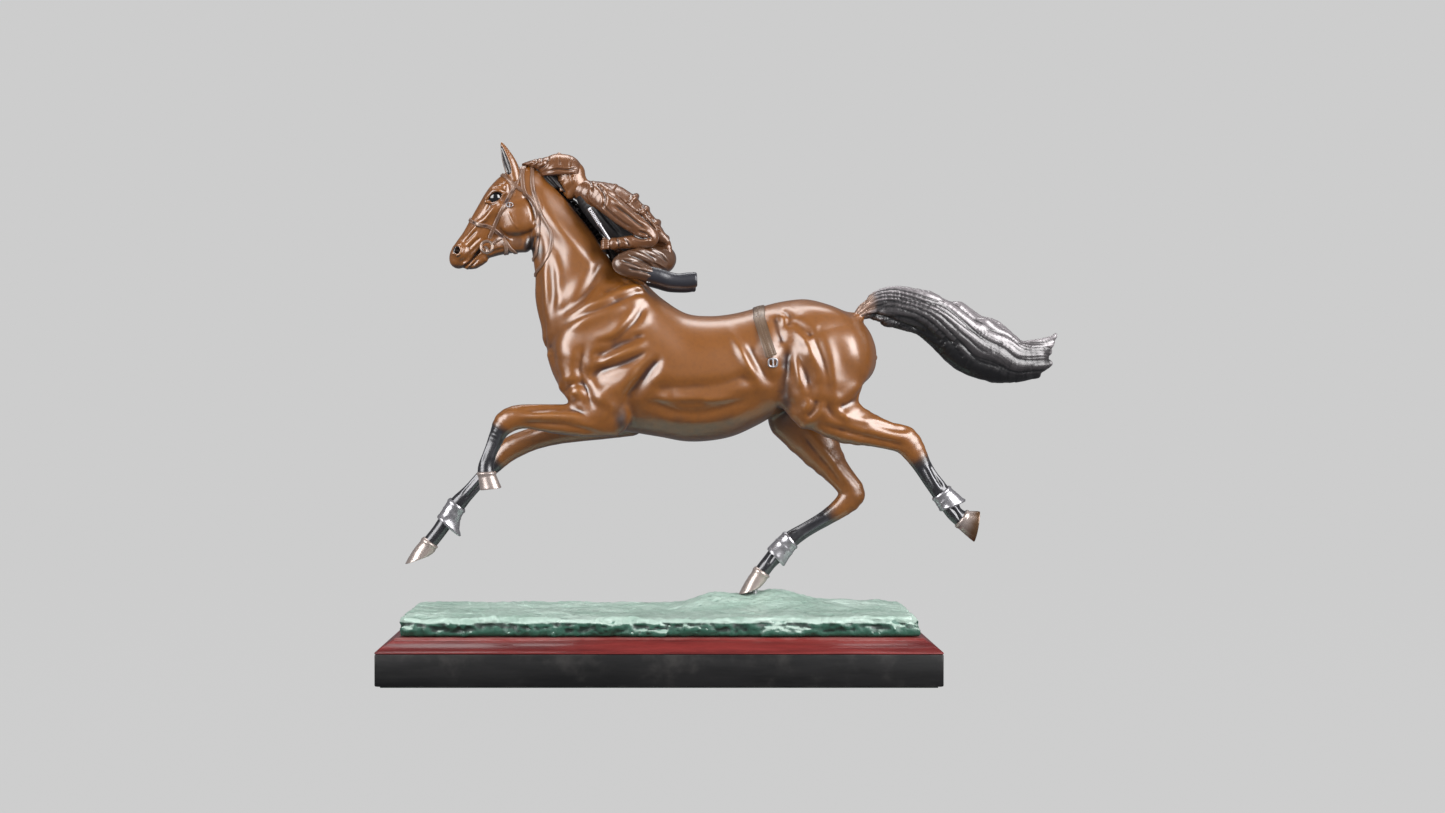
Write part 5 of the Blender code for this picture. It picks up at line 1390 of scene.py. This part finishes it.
# the rider
rider = {
    "head": (-73, 0, 411.5), "forward": (-0.927, 0, -0.375), "up": (-0.375, 0, 0.927), "size": 0.95,
    "face": [     # in the head's own frame: forward, side, up, radii; reach; both sides; carved
        ([(-2.5, 0, 5, 11.5, 9.8), (-2, 0, 2, 11, 9.6)], 1.0, False, False),
        ([(2.5, 0, 0, 7.6, 7.6), (3.5, 0, -5, 6.4, 6.8), (4.4, 0, -9.2, 5.0, 5.4), (5, 0, -11, 4.2, 4.4)], 4.0, False,
         False),
        ([(2, 0, 5, 8.4, 8)], 3.0, False, False),
        ([(-2, 6.2, -3, 3.2, 2.4), (0, 5.6, -8, 3, 2.4), (5, 2.6, -11.8, 2.6, 2.4)], 3.0, True, False),
        ([(7.2, 0, -12, 2.6, 3)], 2.5, False, False),
        ([(5.5, 5.0, -2.6, 2.8, 2.6), (2.0, 6.8, -2, 2.4, 2.0)], 2.5, True, False),
        ([(9.0, 1.2, 2.2, 1.5, 1.4), (9.0, 3.8, 2.8, 1.5, 1.4), (7.4, 6.4, 2, 1.4, 1.3)], 1.6, True, False),
        ([(9.0, 0, 1.6, 1.3, 1.2), (10.4, 0, -1.2, 1.4, 1.2), (11.7, 0, -4.2, 1.6, 1.4), (11.9, 0, -5.0, 1.5, 1.5)],
         1.2,
         False, False),
        ([(10.8, 1.5, -5.3, 1.2, 0.9)], 0.7, True, False),
        ([(10.4, 2.6, 0.2, 1.8, 1.5), (9.8, 4.6, 0.2, 1.8, 1.5)], 1.4, True, True),
        ([(8.0, 3.5, 0.1, 1.9, 1.9)], 0.3, True, False),
        ([(9.3, 1.7, 0.4, 0.5, 0.5), (9.9, 2.9, 1.1, 0.5, 0.5), (9.5, 4.3, 1.0, 0.5, 0.5), (8.7, 5.3, 0.2, 0.5, 0.5)],
         0.3,
         True, False),
        ([(9.3, 1.7, 0.2, 0.4, 0.4), (9.6, 3.0, -0.7, 0.4, 0.4), (9.3, 4.3, -0.7, 0.4, 0.4),
          (8.7, 5.3, 0.1, 0.4, 0.4)], 0.3,
         True, False),
        ([(9.2, -2.4, -8.7, 0.6, 0.6), (10.3, 0, -8.1, 0.9, 0.9), (9.2, 2.4, -8.7, 0.6, 0.6)], 0.5, False, False),
        ([(9.1, -2.0, -9.8, 0.7, 0.7), (10.0, 0, -9.9, 1, 1), (9.1, 2, -9.8, 0.7, 0.7)], 0.5, False, False),
        ([(-2.2, 9.7, 1.8, 2.4, 1.0), (-1.4, 9.8, -1.2, 2.0, 0.9), (-0.4, 9.2, -3.8, 1.1, 0.8)], 0.5, True, False),
        ([(-1.8, 10.9, 0.9, 1.3, 0.7), (-1.2, 10.8, -1.2, 0.9, 0.6)], 0.4, True, True),
    ],
    "neck": [(-68, 0, 408, 8, 7.5), (-62, 0, 403, 8.5, 8), (-57, 0, 399, 9, 9)],
    "cap": {
        "dome": [(-84, 0, 418.2, 15.4, 13), (-79, 0, 417.6, 15.4, 13.4)],
        "button": (-83.5, 0, 433.2, 1.6, 1.6),
        "rim": ((-78, 0, 415.2), (0.04, 0, -1)),
        "peak": [(-88, 0, 421, 7, 11.5), (-96, 0, 423.8, 6, 10.5), (-104, 0, 424.6, 3.8, 8.5), (-110, 0, 424.8, 2, 5.5),
                 (-113.8, 0, 424.6, 0.8, 3)],
        "lines": [
            (0, 1.0, -0.7, [(-104, 421.5), (-99, 425), (-96.5, 430)]),
            (0, 1.0, -0.6, [(-108, 423), (-103, 425.5), (-100, 429)]),
            (0, 1.1, -0.9, [(-101, 419.5), (-95, 422), (-92.5, 427), (-92, 432)]),
            (0, 0.8, -0.9, [(-93, 417), (-84, 419.2), (-76, 418.6), (-67, 420.5)]),
            (0, 0.7, -0.35, [(-84, 434), (-82.5, 427), (-82, 420)]),
            (0, 0.7, -0.35, [(-73, 431), (-73.5, 425), (-74, 420)]),
        ],
    },
}
riderDress = {
    "torso": [(-60, 0, 402, 8.5, 9), (-52, 0, 397.5, 13, 14), (-38, 0, 391, 16.2, 17), (-24, 0, 380.5, 15.2, 16),
              (-11, 0, 368.5, 13, 14), (-2, 0, 358, 11, 12.5)],
    # a near-black form that paints the shadow under the rider's chest
    "waistcoat": [(-64, 0, 399, 6, 8), (-58, 0, 393, 9, 9), (-48, 0, 384, 12, 12), (-38, 0, 374, 12.5, 13),
                  (-26, 0, 364, 12, 13),
                  (-14, 0, 354, 10, 12)],
    "collar": [(-65.5, 0, 404, 8.6, 8.6), (-61.5, 0, 402, 9.8, 9.8)],
    "sleeve": [(-50, 18, 397, 10, 8), (-42, 23.5, 390, 9.5, 7.5), (-30, 25.5, 380, 8.8, 7.2), (-18, 26, 371, 7.8, 7),
               (-8, 26, 363.5, 6.8, 6.4), (-7, 26, 359.5, 5.8, 5.8), (-14, 25.5, 357.8, 5.6, 5.4),
               (-24, 25, 357.5, 5.4, 5.2),
               (-34, 24.4, 356.6, 4.6, 4.6), (-37, 24.2, 356.2, 5.2, 5)],
    "folds": [     # ruffles over the back: where each stands, how high, how far it reaches round
        (-37, 407, 1.3, 15), (-20, 398.2, 2.6, 14), (-11.5, 387.6, 2.9, 14), (-2, 376.2, 2.9, 13), (5.2, 363, 2.7, 12)],
    "tails": [
        ([(-8, 13, 372, 5, 3), (0, 15, 364, 4.6, 2.6), (6, 15.5, 359.5, 2.6, 1.6)], 3.0),
        ([(-2, 9, 364, 6, 5), (5, 10, 357, 5, 4), (8, 10, 349, 3, 3)], 3.0),
    ],
    "lines": [
        (0, 1.2, -1.0, [(-54, 408), (-47, 400), (-44, 392), (-47, 384)]),
        (0, 1.4, -1.2, [(-44, 398), (-36, 395), (-26, 387), (-16, 379)]),
        (0, 1.2, -1.1, [(-38, 388), (-28, 381), (-18, 373), (-9, 367)]),
        (0, 1.1, -0.9, [(-48, 390), (-40, 381), (-30, 373), (-20, 367)]),
        (0, 1.3, -1.2, [(-22, 384), (-14, 380), (-6, 372), (-1, 366)]),
        (0, 1.0, -1.0, [(-18, 366), (-11, 364), (-5, 358)]),
        (0, 1.0, -1.0, [(-22, 363), (-14, 360), (-6, 361)]), (0, 0.9, -0.8, [(-30, 361), (-26, 357), (-24, 352.5)]),
        (0, 0.9, -0.8, [(-35.5, 361), (-33.5, 357), (-33, 352)]),
        (0, 1.1, 0.8, [(-42, 394), (-32, 386), (-22, 378), (-12, 370)]),
        (0, 1.0, -0.9, [(-16, 393), (-10, 384), (-8, 378)]), (0, 1.0, -0.9, [(-8, 380), (-2, 372), (0, 366)]),
        (0, 1.0, -0.8, [(-58, 412), (-55, 405), (-55, 398)]), (0, 1.1, 0.8, [(-24, 400), (-16, 391), (-13, 383)]),
    ],
    "swells": [(0, -42, 402, 9, 5, -20, 1.2), (0, -30, 383, 12, 4, -42, 0.8)],
    "breeches": [(0, 0, 347, 11, 12.5), (3, 6, 345, 11, 10), (-9, 19, 345, 9, 8), (-22, 29, 343, 8.2, 7.2),
                 (-31, 33.5, 339, 7.4, 6.4), (-25, 33.6, 335.5, 7.2, 6.2), (-14, 32.6, 332.8, 6.6, 5.9),
                 (-4, 31.4, 330, 6.2, 5.6)],
    "breechLines": [
        (0, 1.1, -1.0, [(-22, 351), (-12, 349), (-2, 343)]), (0, 1.1, -1.0, [(-28, 347), (-16, 343), (-4, 336)]),
        (0, 1.0, -0.9, [(-32, 342), (-22, 339), (-12, 334)]), (0, 1.0, -0.9, [(-26, 335), (-14, 333), (-4, 330)]),
        (0, 1.0, 0.8, [(-26, 350), (-14, 346), (-2, 340)]), (0, 0.9, -0.8, [(-8, 352), (2, 347), (7, 340)]),
        (0, 1.0, -0.9, [(-6, 341), (2, 337), (7, 334)]), (0, 1.0, 0.7, [(-30, 339), (-18, 336), (-6, 332)])],
    "boot": [(-8, 31.8, 331, 6.4, 5.8), (0, 31.2, 329, 6.6, 6), (8, 30, 326.4, 6.4, 5.8), (16, 30, 325.4, 6, 5.4),
             (23, 30, 325.8, 6.4, 5.2), (28.5, 30, 326.4, 6.2, 5)],
}


def headRows(rows):
    # from the head's own frame to the statue's
    c, f, u = (np.array(rider[key]) for key in ("head", "forward", "up"))
    k = rider["size"]
    return [(*(c + k * (row[0] * f + row[1] * np.array((0, 1, 0)) + row[2] * u)),
             *(k * v for v in row[3:])) for row in rows]


def buildRiderHead():
    form = Form()
    for rows, reach, both, carve in rider["face"]:
        rows = rows * 2 if len(rows) == 1 else rows
        for side in (left, right) if both else (1,):
            placed = [(row[0], side * row[1], *row[2:]) for row in rows]
            form.add(headRows(placed), reach, carve=carve)
    form.add(rider["neck"], 3.0)
    sculpt("riderHead", form, 0.7, finishes["rider"], ("jockey_head",), stain=lambda p, n: np.full(len(p), 0.55))
    cap = Form().add(rider["cap"]["dome"], steps=2).add(rider["cap"]["peak"], 3.5)
    cap.add([rider["cap"]["button"]] * 2, 0.5, 1, 0.8)
    cap.cut(*rider["cap"]["rim"])
    sculpt("cap", cap, 0.9, finishes["rider"], lines=rider["cap"]["lines"], facing=-0.2,
           stain=lambda p, n: np.clip((p[:, 2] - 424) / 10, 0, 0.8))


def buildJacket():
    form = Form().add(riderDress["torso"], flat=1.4).add(riderDress["collar"], 1.2)
    form.add(riderDress["sleeve"], 4.0, both=True)
    for rows, reach in riderDress["tails"]:
        form.add(rows, reach, both=True)
    spine = smoothRows(riderDress["torso"], 8)
    for x, z, stand, wide in riderDress["folds"]:
        # an arch over the back, leaning backwards
        near = spine[np.argmin((spine[:, 0] - x)**2 + (spine[:, 2] - z)**2)]
        way = np.array((x - near[0], 0, z - near[2]))
        arch = []
        for turn in np.linspace(-1, 1, 9):
            drop = 1 - math.cos(turn * 1.35)
            arch.append((x - way[0] * drop * 0.85 + 1.0, math.sin(turn * 1.35) * wide, z - way[2] * drop * 0.85,
                         stand * (1 - 0.45 * abs(turn)), stand))
        form.add(arch, 2.0, 2)
    sculpt("jacket", form, 1.1, finishes["rider"], ("jacket", "left_sleeve", "right_sleeve"),
           lines=riderDress["lines"], swells=riderDress["swells"], facing=-0.1,
           stain=lambda p, n: np.clip((p[:, 2] - 396 + p[:, 0] * 0.25) / 14 + 0.3, 0, 0.9))


def buildChestShadowFill():
    # a near-black folded form that paints the shadow under the rider's chest, down to the withers
    sculpt("waistcoat", Form().add(riderDress["waistcoat"], 2.0), 1.3, finishes["under"], (), lines=[
        (0, 1.3, -1.0, [(-54, 392), (-42, 376), (-30, 362)]), (0, 1.3, -1.0, [(-46, 394), (-36, 382), (-24, 368)])])


def buildHands():
    form = Form().add([(-38.5, 24.3, 356.2, 3.6, 3.2), (-42.5, 24.2, 355.6, 4.0, 3.2)], 1.5, both=True)
    for k in range(4):
        z = 352.6 + k * 1.9
        form.add([(-42, 27.2, z + 0.4, 1.15, 1.1), (-45.4, 27.4, z, 1.15, 1.1), (-47, 25.2, z - 0.2, 1.05, 1.05),
                  (-45.6, 22.6, z - 0.2, 1, 1), (-43.4, 22, z, 1, 1)], 0.45, both=True)
    form.add([(-39.5, 23, 359.2, 1.3, 1.2), (-43, 22.4, 360.6, 1.25, 1.15), (-45.6, 23.2, 360.4, 1.1, 1)], 0.6,
             both=True)
    sculpt("hands", form, 0.8, finishes["rider"], ("left_hand", "right_hand"))


def buildLegsOfRider():
    form = Form().add(riderDress["breeches"], 3.0, both=True)
    sculpt("breeches", form, 1.1, finishes["breeches"], lines=riderDress["breechLines"], facing=-0.1)
    form = Form().add(riderDress["boot"], both=True)
    form.cut((31.2, 0, 326), (1, 0, 0.05), 1.2)
    form.add([(29.6, 30, 331, 1.2, 1.0), (31.2, 30, 326.4, 1.4, 4.4), (29.6, 30, 321.2, 1.2, 1.0)], 0.5, both=True)
    sculpt("ridingBoots", form, 1.0, finishes["boot"], ("left_riding_boot", "right_riding_boot"))


whip = {"from": (-57.5, -24.6, 385.5), "to": (-36.5, -24.2, 353), "girth": 3.7}


def buildWhip():
    start, end = np.array(whip["from"]), np.array(whip["to"])
    share = np.linspace(0, 1, 120)
    path = start + (end - start) * share[:, None]
    braid = 1 + 0.10 * np.sin(share * 2 * math.pi * 26)
    knob = 0.22 * np.exp(-((share - 0.03) / 0.03)**2) + 0.18 * np.exp(-((share - 0.42) / 0.02)**2)
    size = np.where(share < 0.42, braid, 0.82 - 0.2 * (share - 0.42)) + knob
    swept("whip", [(path, [(0, -1, 0)] * len(path), size, False)], whip["girth"], whip["girth"], finishes["pewter"],
          ribs=8, depth=0.12, sides=32)


buildRiderHead()
buildJacket()
buildChestShadowFill()
buildHands()
buildLegsOfRider()
buildWhip()
print("rider dressed")


# the ground and the plinth
ground = {
    "step": 3.0, "long": 209.5, "wide": 61, "low": 38.6, "top": 53.2, "high": 72.0, "corner": 9,
    "swells": [(48, 14, 11.5, 26, 30), (98, 22, 12.5, 30, 30), (150, 10, 3.5, 50, 50), (-120, -20, 1.6, 60, 30)],
}


def softMax(a, b, reach):
    return -softMin(-a, -b, reach)


class GroundForm(Form):
    probe = 0.4

    def __call__(self, points):
        g = ground
        x, y, z = points.T
        edge = 1.6 * waves(points * (1, 1, 1.6), 26, 4) + 0.8 * waves(points * (1, 1, 2.5), 9, 5)
        top = g["top"] + 0.9 * waves(points * (1, 1, 0), 60, 6) + 0.45 * waves(points * (1, 1, 0), 17, 7)
        for at, across, rise, long, wide in g["swells"]:
            top = top + rise * np.exp(-((x - at) / long)**2 - ((y - across) / wide)**2)
        shrink = 3.0 * np.clip((z - g["low"]) / 18, 0, 1)**2
        dx = np.abs(x) - (g["long"] - shrink + edge - g["corner"])
        dy = np.abs(y) - (g["wide"] - shrink + edge - g["corner"])
        side = np.hypot(np.maximum(dx, 0), np.maximum(dy, 0)) + np.minimum(np.maximum(dx, dy), 0) - g["corner"]
        return np.maximum(softMax(side, z - top, 3.5), g["low"] - z).astype(np.float32)

    def box(self):
        long, wide = ground["long"] + 4, ground["wide"] + 3.5
        return np.array([-long, -wide, ground["low"] - 3.0]), np.array([long, wide, ground["high"]])


def roughenGround(points, quads):
    normals = pointNormals(points, quads)
    side = np.clip(1 - np.abs(normals[:, 2]) * 1.3, 0, 1) * (points[:, 2] > ground["low"] + 0.6)
    strata = waves(points * (0.35, 0.35, 2.2), 12, 21) + 0.8 * np.abs(waves(points * (0.6, 0.6, 1.6), 7, 22))
    top = (normals[:, 2] > 0.3) * (0.35 * waves(points * (0.7, 1.4, 0), 6, 23) + 0.3 * np.abs(waves(points, 11, 24)))
    return points + normals * (side * strata * 0.75 + top)[:, None].astype(float)


def groundFinish():
    f = Finish("verdigris")
    hollow, stain = f.attribute("hollow"), f.attribute("stain")
    cloud = f.noise(22, 5, 0.65, (1, 1.4, 1))
    fine = f.noise(130, 4, 0.65)
    streak = f.noise(60, 4, 0.6, (0.35, 1.6, 1.2), 0.4)
    colour = f.blend((cloud + (streak - 0.5) * 0.6).ramp(0.3, 0.7), (0.29, 0.41, 0.345), (0.45, 0.565, 0.50))
    colour = f.blend((hollow * 1.1 + (fine - 0.5) * 0.7).ramp(0.15, 0.8), colour, (0.07, 0.16, 0.125))
    side = (stain + (fine - 0.5) * 0.5 + (cloud - 0.5) * 0.4).ramp(0.3, 0.75)
    rock = f.blend((streak + (0.0 - hollow) * 0.5).ramp(0.35, 0.8), (0.004, 0.018, 0.012), (0.020, 0.085, 0.056))
    colour = f.blend(side, colour, rock)
    colour = f.blend((0.0 - hollow + (fine - 0.5) * 0.3).ramp(0.35, 1.3) * (0.5 - side * 0.5), colour,
                     (0.48, 0.62, 0.54))
    height = fine + cloud * 1.5 + f.noise(420, 3, 0.6) * 0.6
    return f.surface(colour=colour, roughness=(fine * 0.3 + 0.36).clamp(), metallic=0.12, coat=0.35, coatRoughness=0.35,
                     normal=f.bump(height, 0.0006))


def groundStain(points, normals):
    # the broken sides, below the pale lip
    return np.clip(1.4 - normals[:, 2] * 1.7, 0, 1) * np.clip((51 - points[:, 2]) / 3, 0, 1)


sculpt("ground", GroundForm(), ground["step"], (groundFinish(), "verdigris"), ("ground_casting",), work=roughenGround,
       stain=groundStain, rounds=8)


base = {
    "plinth": {"long": 225, "wide": 80, "low": 1.3, "high": 27, "edge": 1.1},
    "moulding": [     # height and how far in from the plinth's edge
        (27.3, 0.0), (28.1, 0.0), (28.6, 0.4), (28.8, 1.1), (29.4, 1.7), (30.3, 2.4), (31.5, 3.8), (32.7, 5.4),
        (33.9, 7.3),
        (35.0, 9.2), (35.9, 11.0), (36.6, 12.4), (37.1, 13.0), (37.6, 13.4), (37.9, 14.0), (38.0, 14.8), (38.0, 17.0)],
}


def rectangleRing(long, wide, z, radius, steps=5):
    # corners rounded by radius
    ring = []
    for cx, cy, start in ((1, 1, 0), (-1, 1, 1), (-1, -1, 2), (1, -1, 3)):
        for k in range(steps + 1):
            angle = (start + k / steps) * math.pi / 2
            ring.append((cx * (long - radius) + radius * math.cos(angle),
                         cy * (wide - radius) + radius * math.sin(angle), z))
    return ring


def lacquer(name, dark, mid, grain, stretch, roughness, coat):
    f = Finish(name)
    lines = f.noise(70, 5, 0.7, stretch, 0.3)
    broad = f.noise(14, 3, 0.6, stretch)
    wear = f.noise(45, 3, 0.6)
    colour = f.blend((lines + (broad - 0.5) * 0.7).ramp(0.32, 0.72), dark, mid)
    colour = f.blend((wear + f.attribute("edge") * 0.5).ramp(0.75, 1.1) * 0.35, colour, grain)
    return f.surface(colour=colour, roughness=(lines * 0.12 + roughness).clamp(), coat=coat, coatRoughness=0.14,
                     specular=0.3, normal=f.bump(lines + f.noise(300, 2, 0.5) * 0.3, 0.00012))


def buildBase():
    p = base["plinth"]
    rings = []
    for z, inset in ((p["low"], p["edge"]), (p["low"] + p["edge"] * 0.3, p["edge"] * 0.3), (p["low"] + p["edge"], 0),
                     (p["high"] - p["edge"], 0), (p["high"] - p["edge"] * 0.3, p["edge"] * 0.3),
                     (p["high"], p["edge"])):
        rings.append(rectangleRing(p["long"] - inset, p["wide"] - inset, z, 1.6))
    points, faces = flatEnded(rings)
    black = lacquer("blackLacquer", (0.003, 0.003, 0.0033), (0.009, 0.0087, 0.009), (0.07, 0.065, 0.06),
                    (0.25, 0.6, 2.2), 0.5, 0.08)
    wrap("plinth", points, faces, (black, "black_lacquer"), ("plinth_block",), 40,
         edge=np.exp(-((np.abs(points[:, 2] - 14) - 12.4) / 0.8)**2))
    rings = [rectangleRing(p["long"] - inset, p["wide"] - inset, z, 1.2) for z, inset in base["moulding"]]
    points, faces = flatEnded(rings)
    red = lacquer("redLacquer", (0.085, 0.010, 0.010), (0.20, 0.026, 0.024), (0.36, 0.16, 0.15), (0.12, 1.4, 1.4), 0.3,
                  0.35)
    wrap("moulding", points, faces, (red, "red_lacquer"), ("plinth_moulding",), 40,
         edge=np.clip((points[:, 2] - 35.5) / 2, 0, 1))


def dressHidden():
    # the parts of the frame that stay: felt under the plinth, and fixings inside the castings
    felt = Finish("felt")
    fibre = felt.noise(900, 3, 0.7)
    cloth = felt.surface(colour=felt.blend(fibre, (0.02, 0.045, 0.03), (0.05, 0.10, 0.065)), roughness=0.95, sheen=0.4,
                         normal=felt.bump(fibre, 0.0004))
    steel = Finish("steel")
    turned = steel.noise(300, 3, 0.6, (1, 1, 6))
    metal = steel.surface(colour=steel.blend(turned, (0.32, 0.32, 0.33), (0.62, 0.62, 0.63)), metallic=1.0,
                          roughness=(turned * 0.2 + 0.25).clamp(), normal=steel.bump(turned, 0.00005))
    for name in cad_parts:
        obj = bpy.data.objects.get(name)
        if obj is None or obj.hide_render:
            continue
        for slot in obj.material_slots:
            slot.material = cloth if "felt" in name else metal


buildBase()
dressHidden()
print("base built")


# studio
studio = {
    "viewer": (0.0, -1.48, 0.228), "lens": 44.17, "shift": (0.0439, -0.0045), "ambient": (0.15, 0.15, 0.16),
    "paper": (0.004, 0.609),     # how much light the paper scatters, and its own glow
    "floor": (2600, 1400),       # radius of the floor and of the sweep round it
    "softboxes": [     # place, target, size, power
        ((-1.1, -0.95, 0.75), (-0.04, 0.0, 0.29), (1.0, 1.1), 25.0),
        ((1.15, -0.95, 0.85), (0.08, 0.0, 0.27), (1.1, 1.2), 37.0),
        ((0.0, 0.35, 1.35), (0.0, 0.0, 0.27), (1.0, 0.35), 6.0),
    ],
}


def aimed(obj, place, target):
    obj.location = place
    obj.rotation_euler = (Vector(target) - Vector(place)).to_track_quat("-Z", "Y").to_euler()
    bpy.context.scene.collection.objects.link(obj)
    return obj


def buildStudio():
    camera = bpy.data.cameras.new("camera")
    camera.lens, camera.sensor_width = studio["lens"], 36
    camera.shift_x, camera.shift_y = studio["shift"]
    x, y, z = studio["viewer"]
    bpy.context.scene.camera = aimed(bpy.data.objects.new("camera", camera), (x, y, z), (x, 0, z))
    for place, target, (wide, high), power in studio["softboxes"]:
        lamp = bpy.data.lights.new("softbox", "AREA")
        lamp.shape, lamp.size, lamp.size_y, lamp.energy = "RECTANGLE", wide, high, power
        aimed(bpy.data.objects.new("softbox", lamp), place, target)
    world = bpy.data.worlds.new("studio")
    world.use_nodes = True
    world.node_tree.nodes["Background"].inputs["Color"].default_value = (*studio["ambient"], 1)
    bpy.context.scene.world = world
    bpy.context.scene.view_settings.view_transform = "Standard"
    f = Finish("paper")
    fibre = f.noise(3, 2, 0.5)
    scatter, glow = studio["paper"]
    paper = f.surface(colour=f.blend(fibre, (scatter,) * 3, (scatter * 1.02,) * 3), roughness=0.95, specular=0,
                      glow=glow, glowColour=(1.0, 1.0, 1.0))
    # a round floor, and a backdrop that sweeps up all round it
    turns = circle(72)

    def sweptRound(profile):
        return [[(r * math.cos(a), r * math.sin(a), z - 0.05) for a in turns] for r, z in profile]
    reach, bend = studio["floor"]
    disc, faces = flatEnded(sweptRound([(reach, -8), (reach, 0)]))
    floor = makeObject("floor", disc, faces, paper, smooth=False)
    rings = sweptRound([(reach + bend * math.sin(a), bend - bend * math.cos(a)) for a in np.linspace(0, math.pi / 2,
                                                                                                     20)]
                       + [(reach + bend, 6000)])
    backdrop = makeObject("backdrop", np.vstack(rings), ringQuads(len(rings), len(turns)), paper)
    backdrop.visible_shadow = False
    for obj in (floor, backdrop):
        obj.visible_diffuse = obj.visible_glossy = False     # the paper's glow doesn't light the bronze


buildStudio()
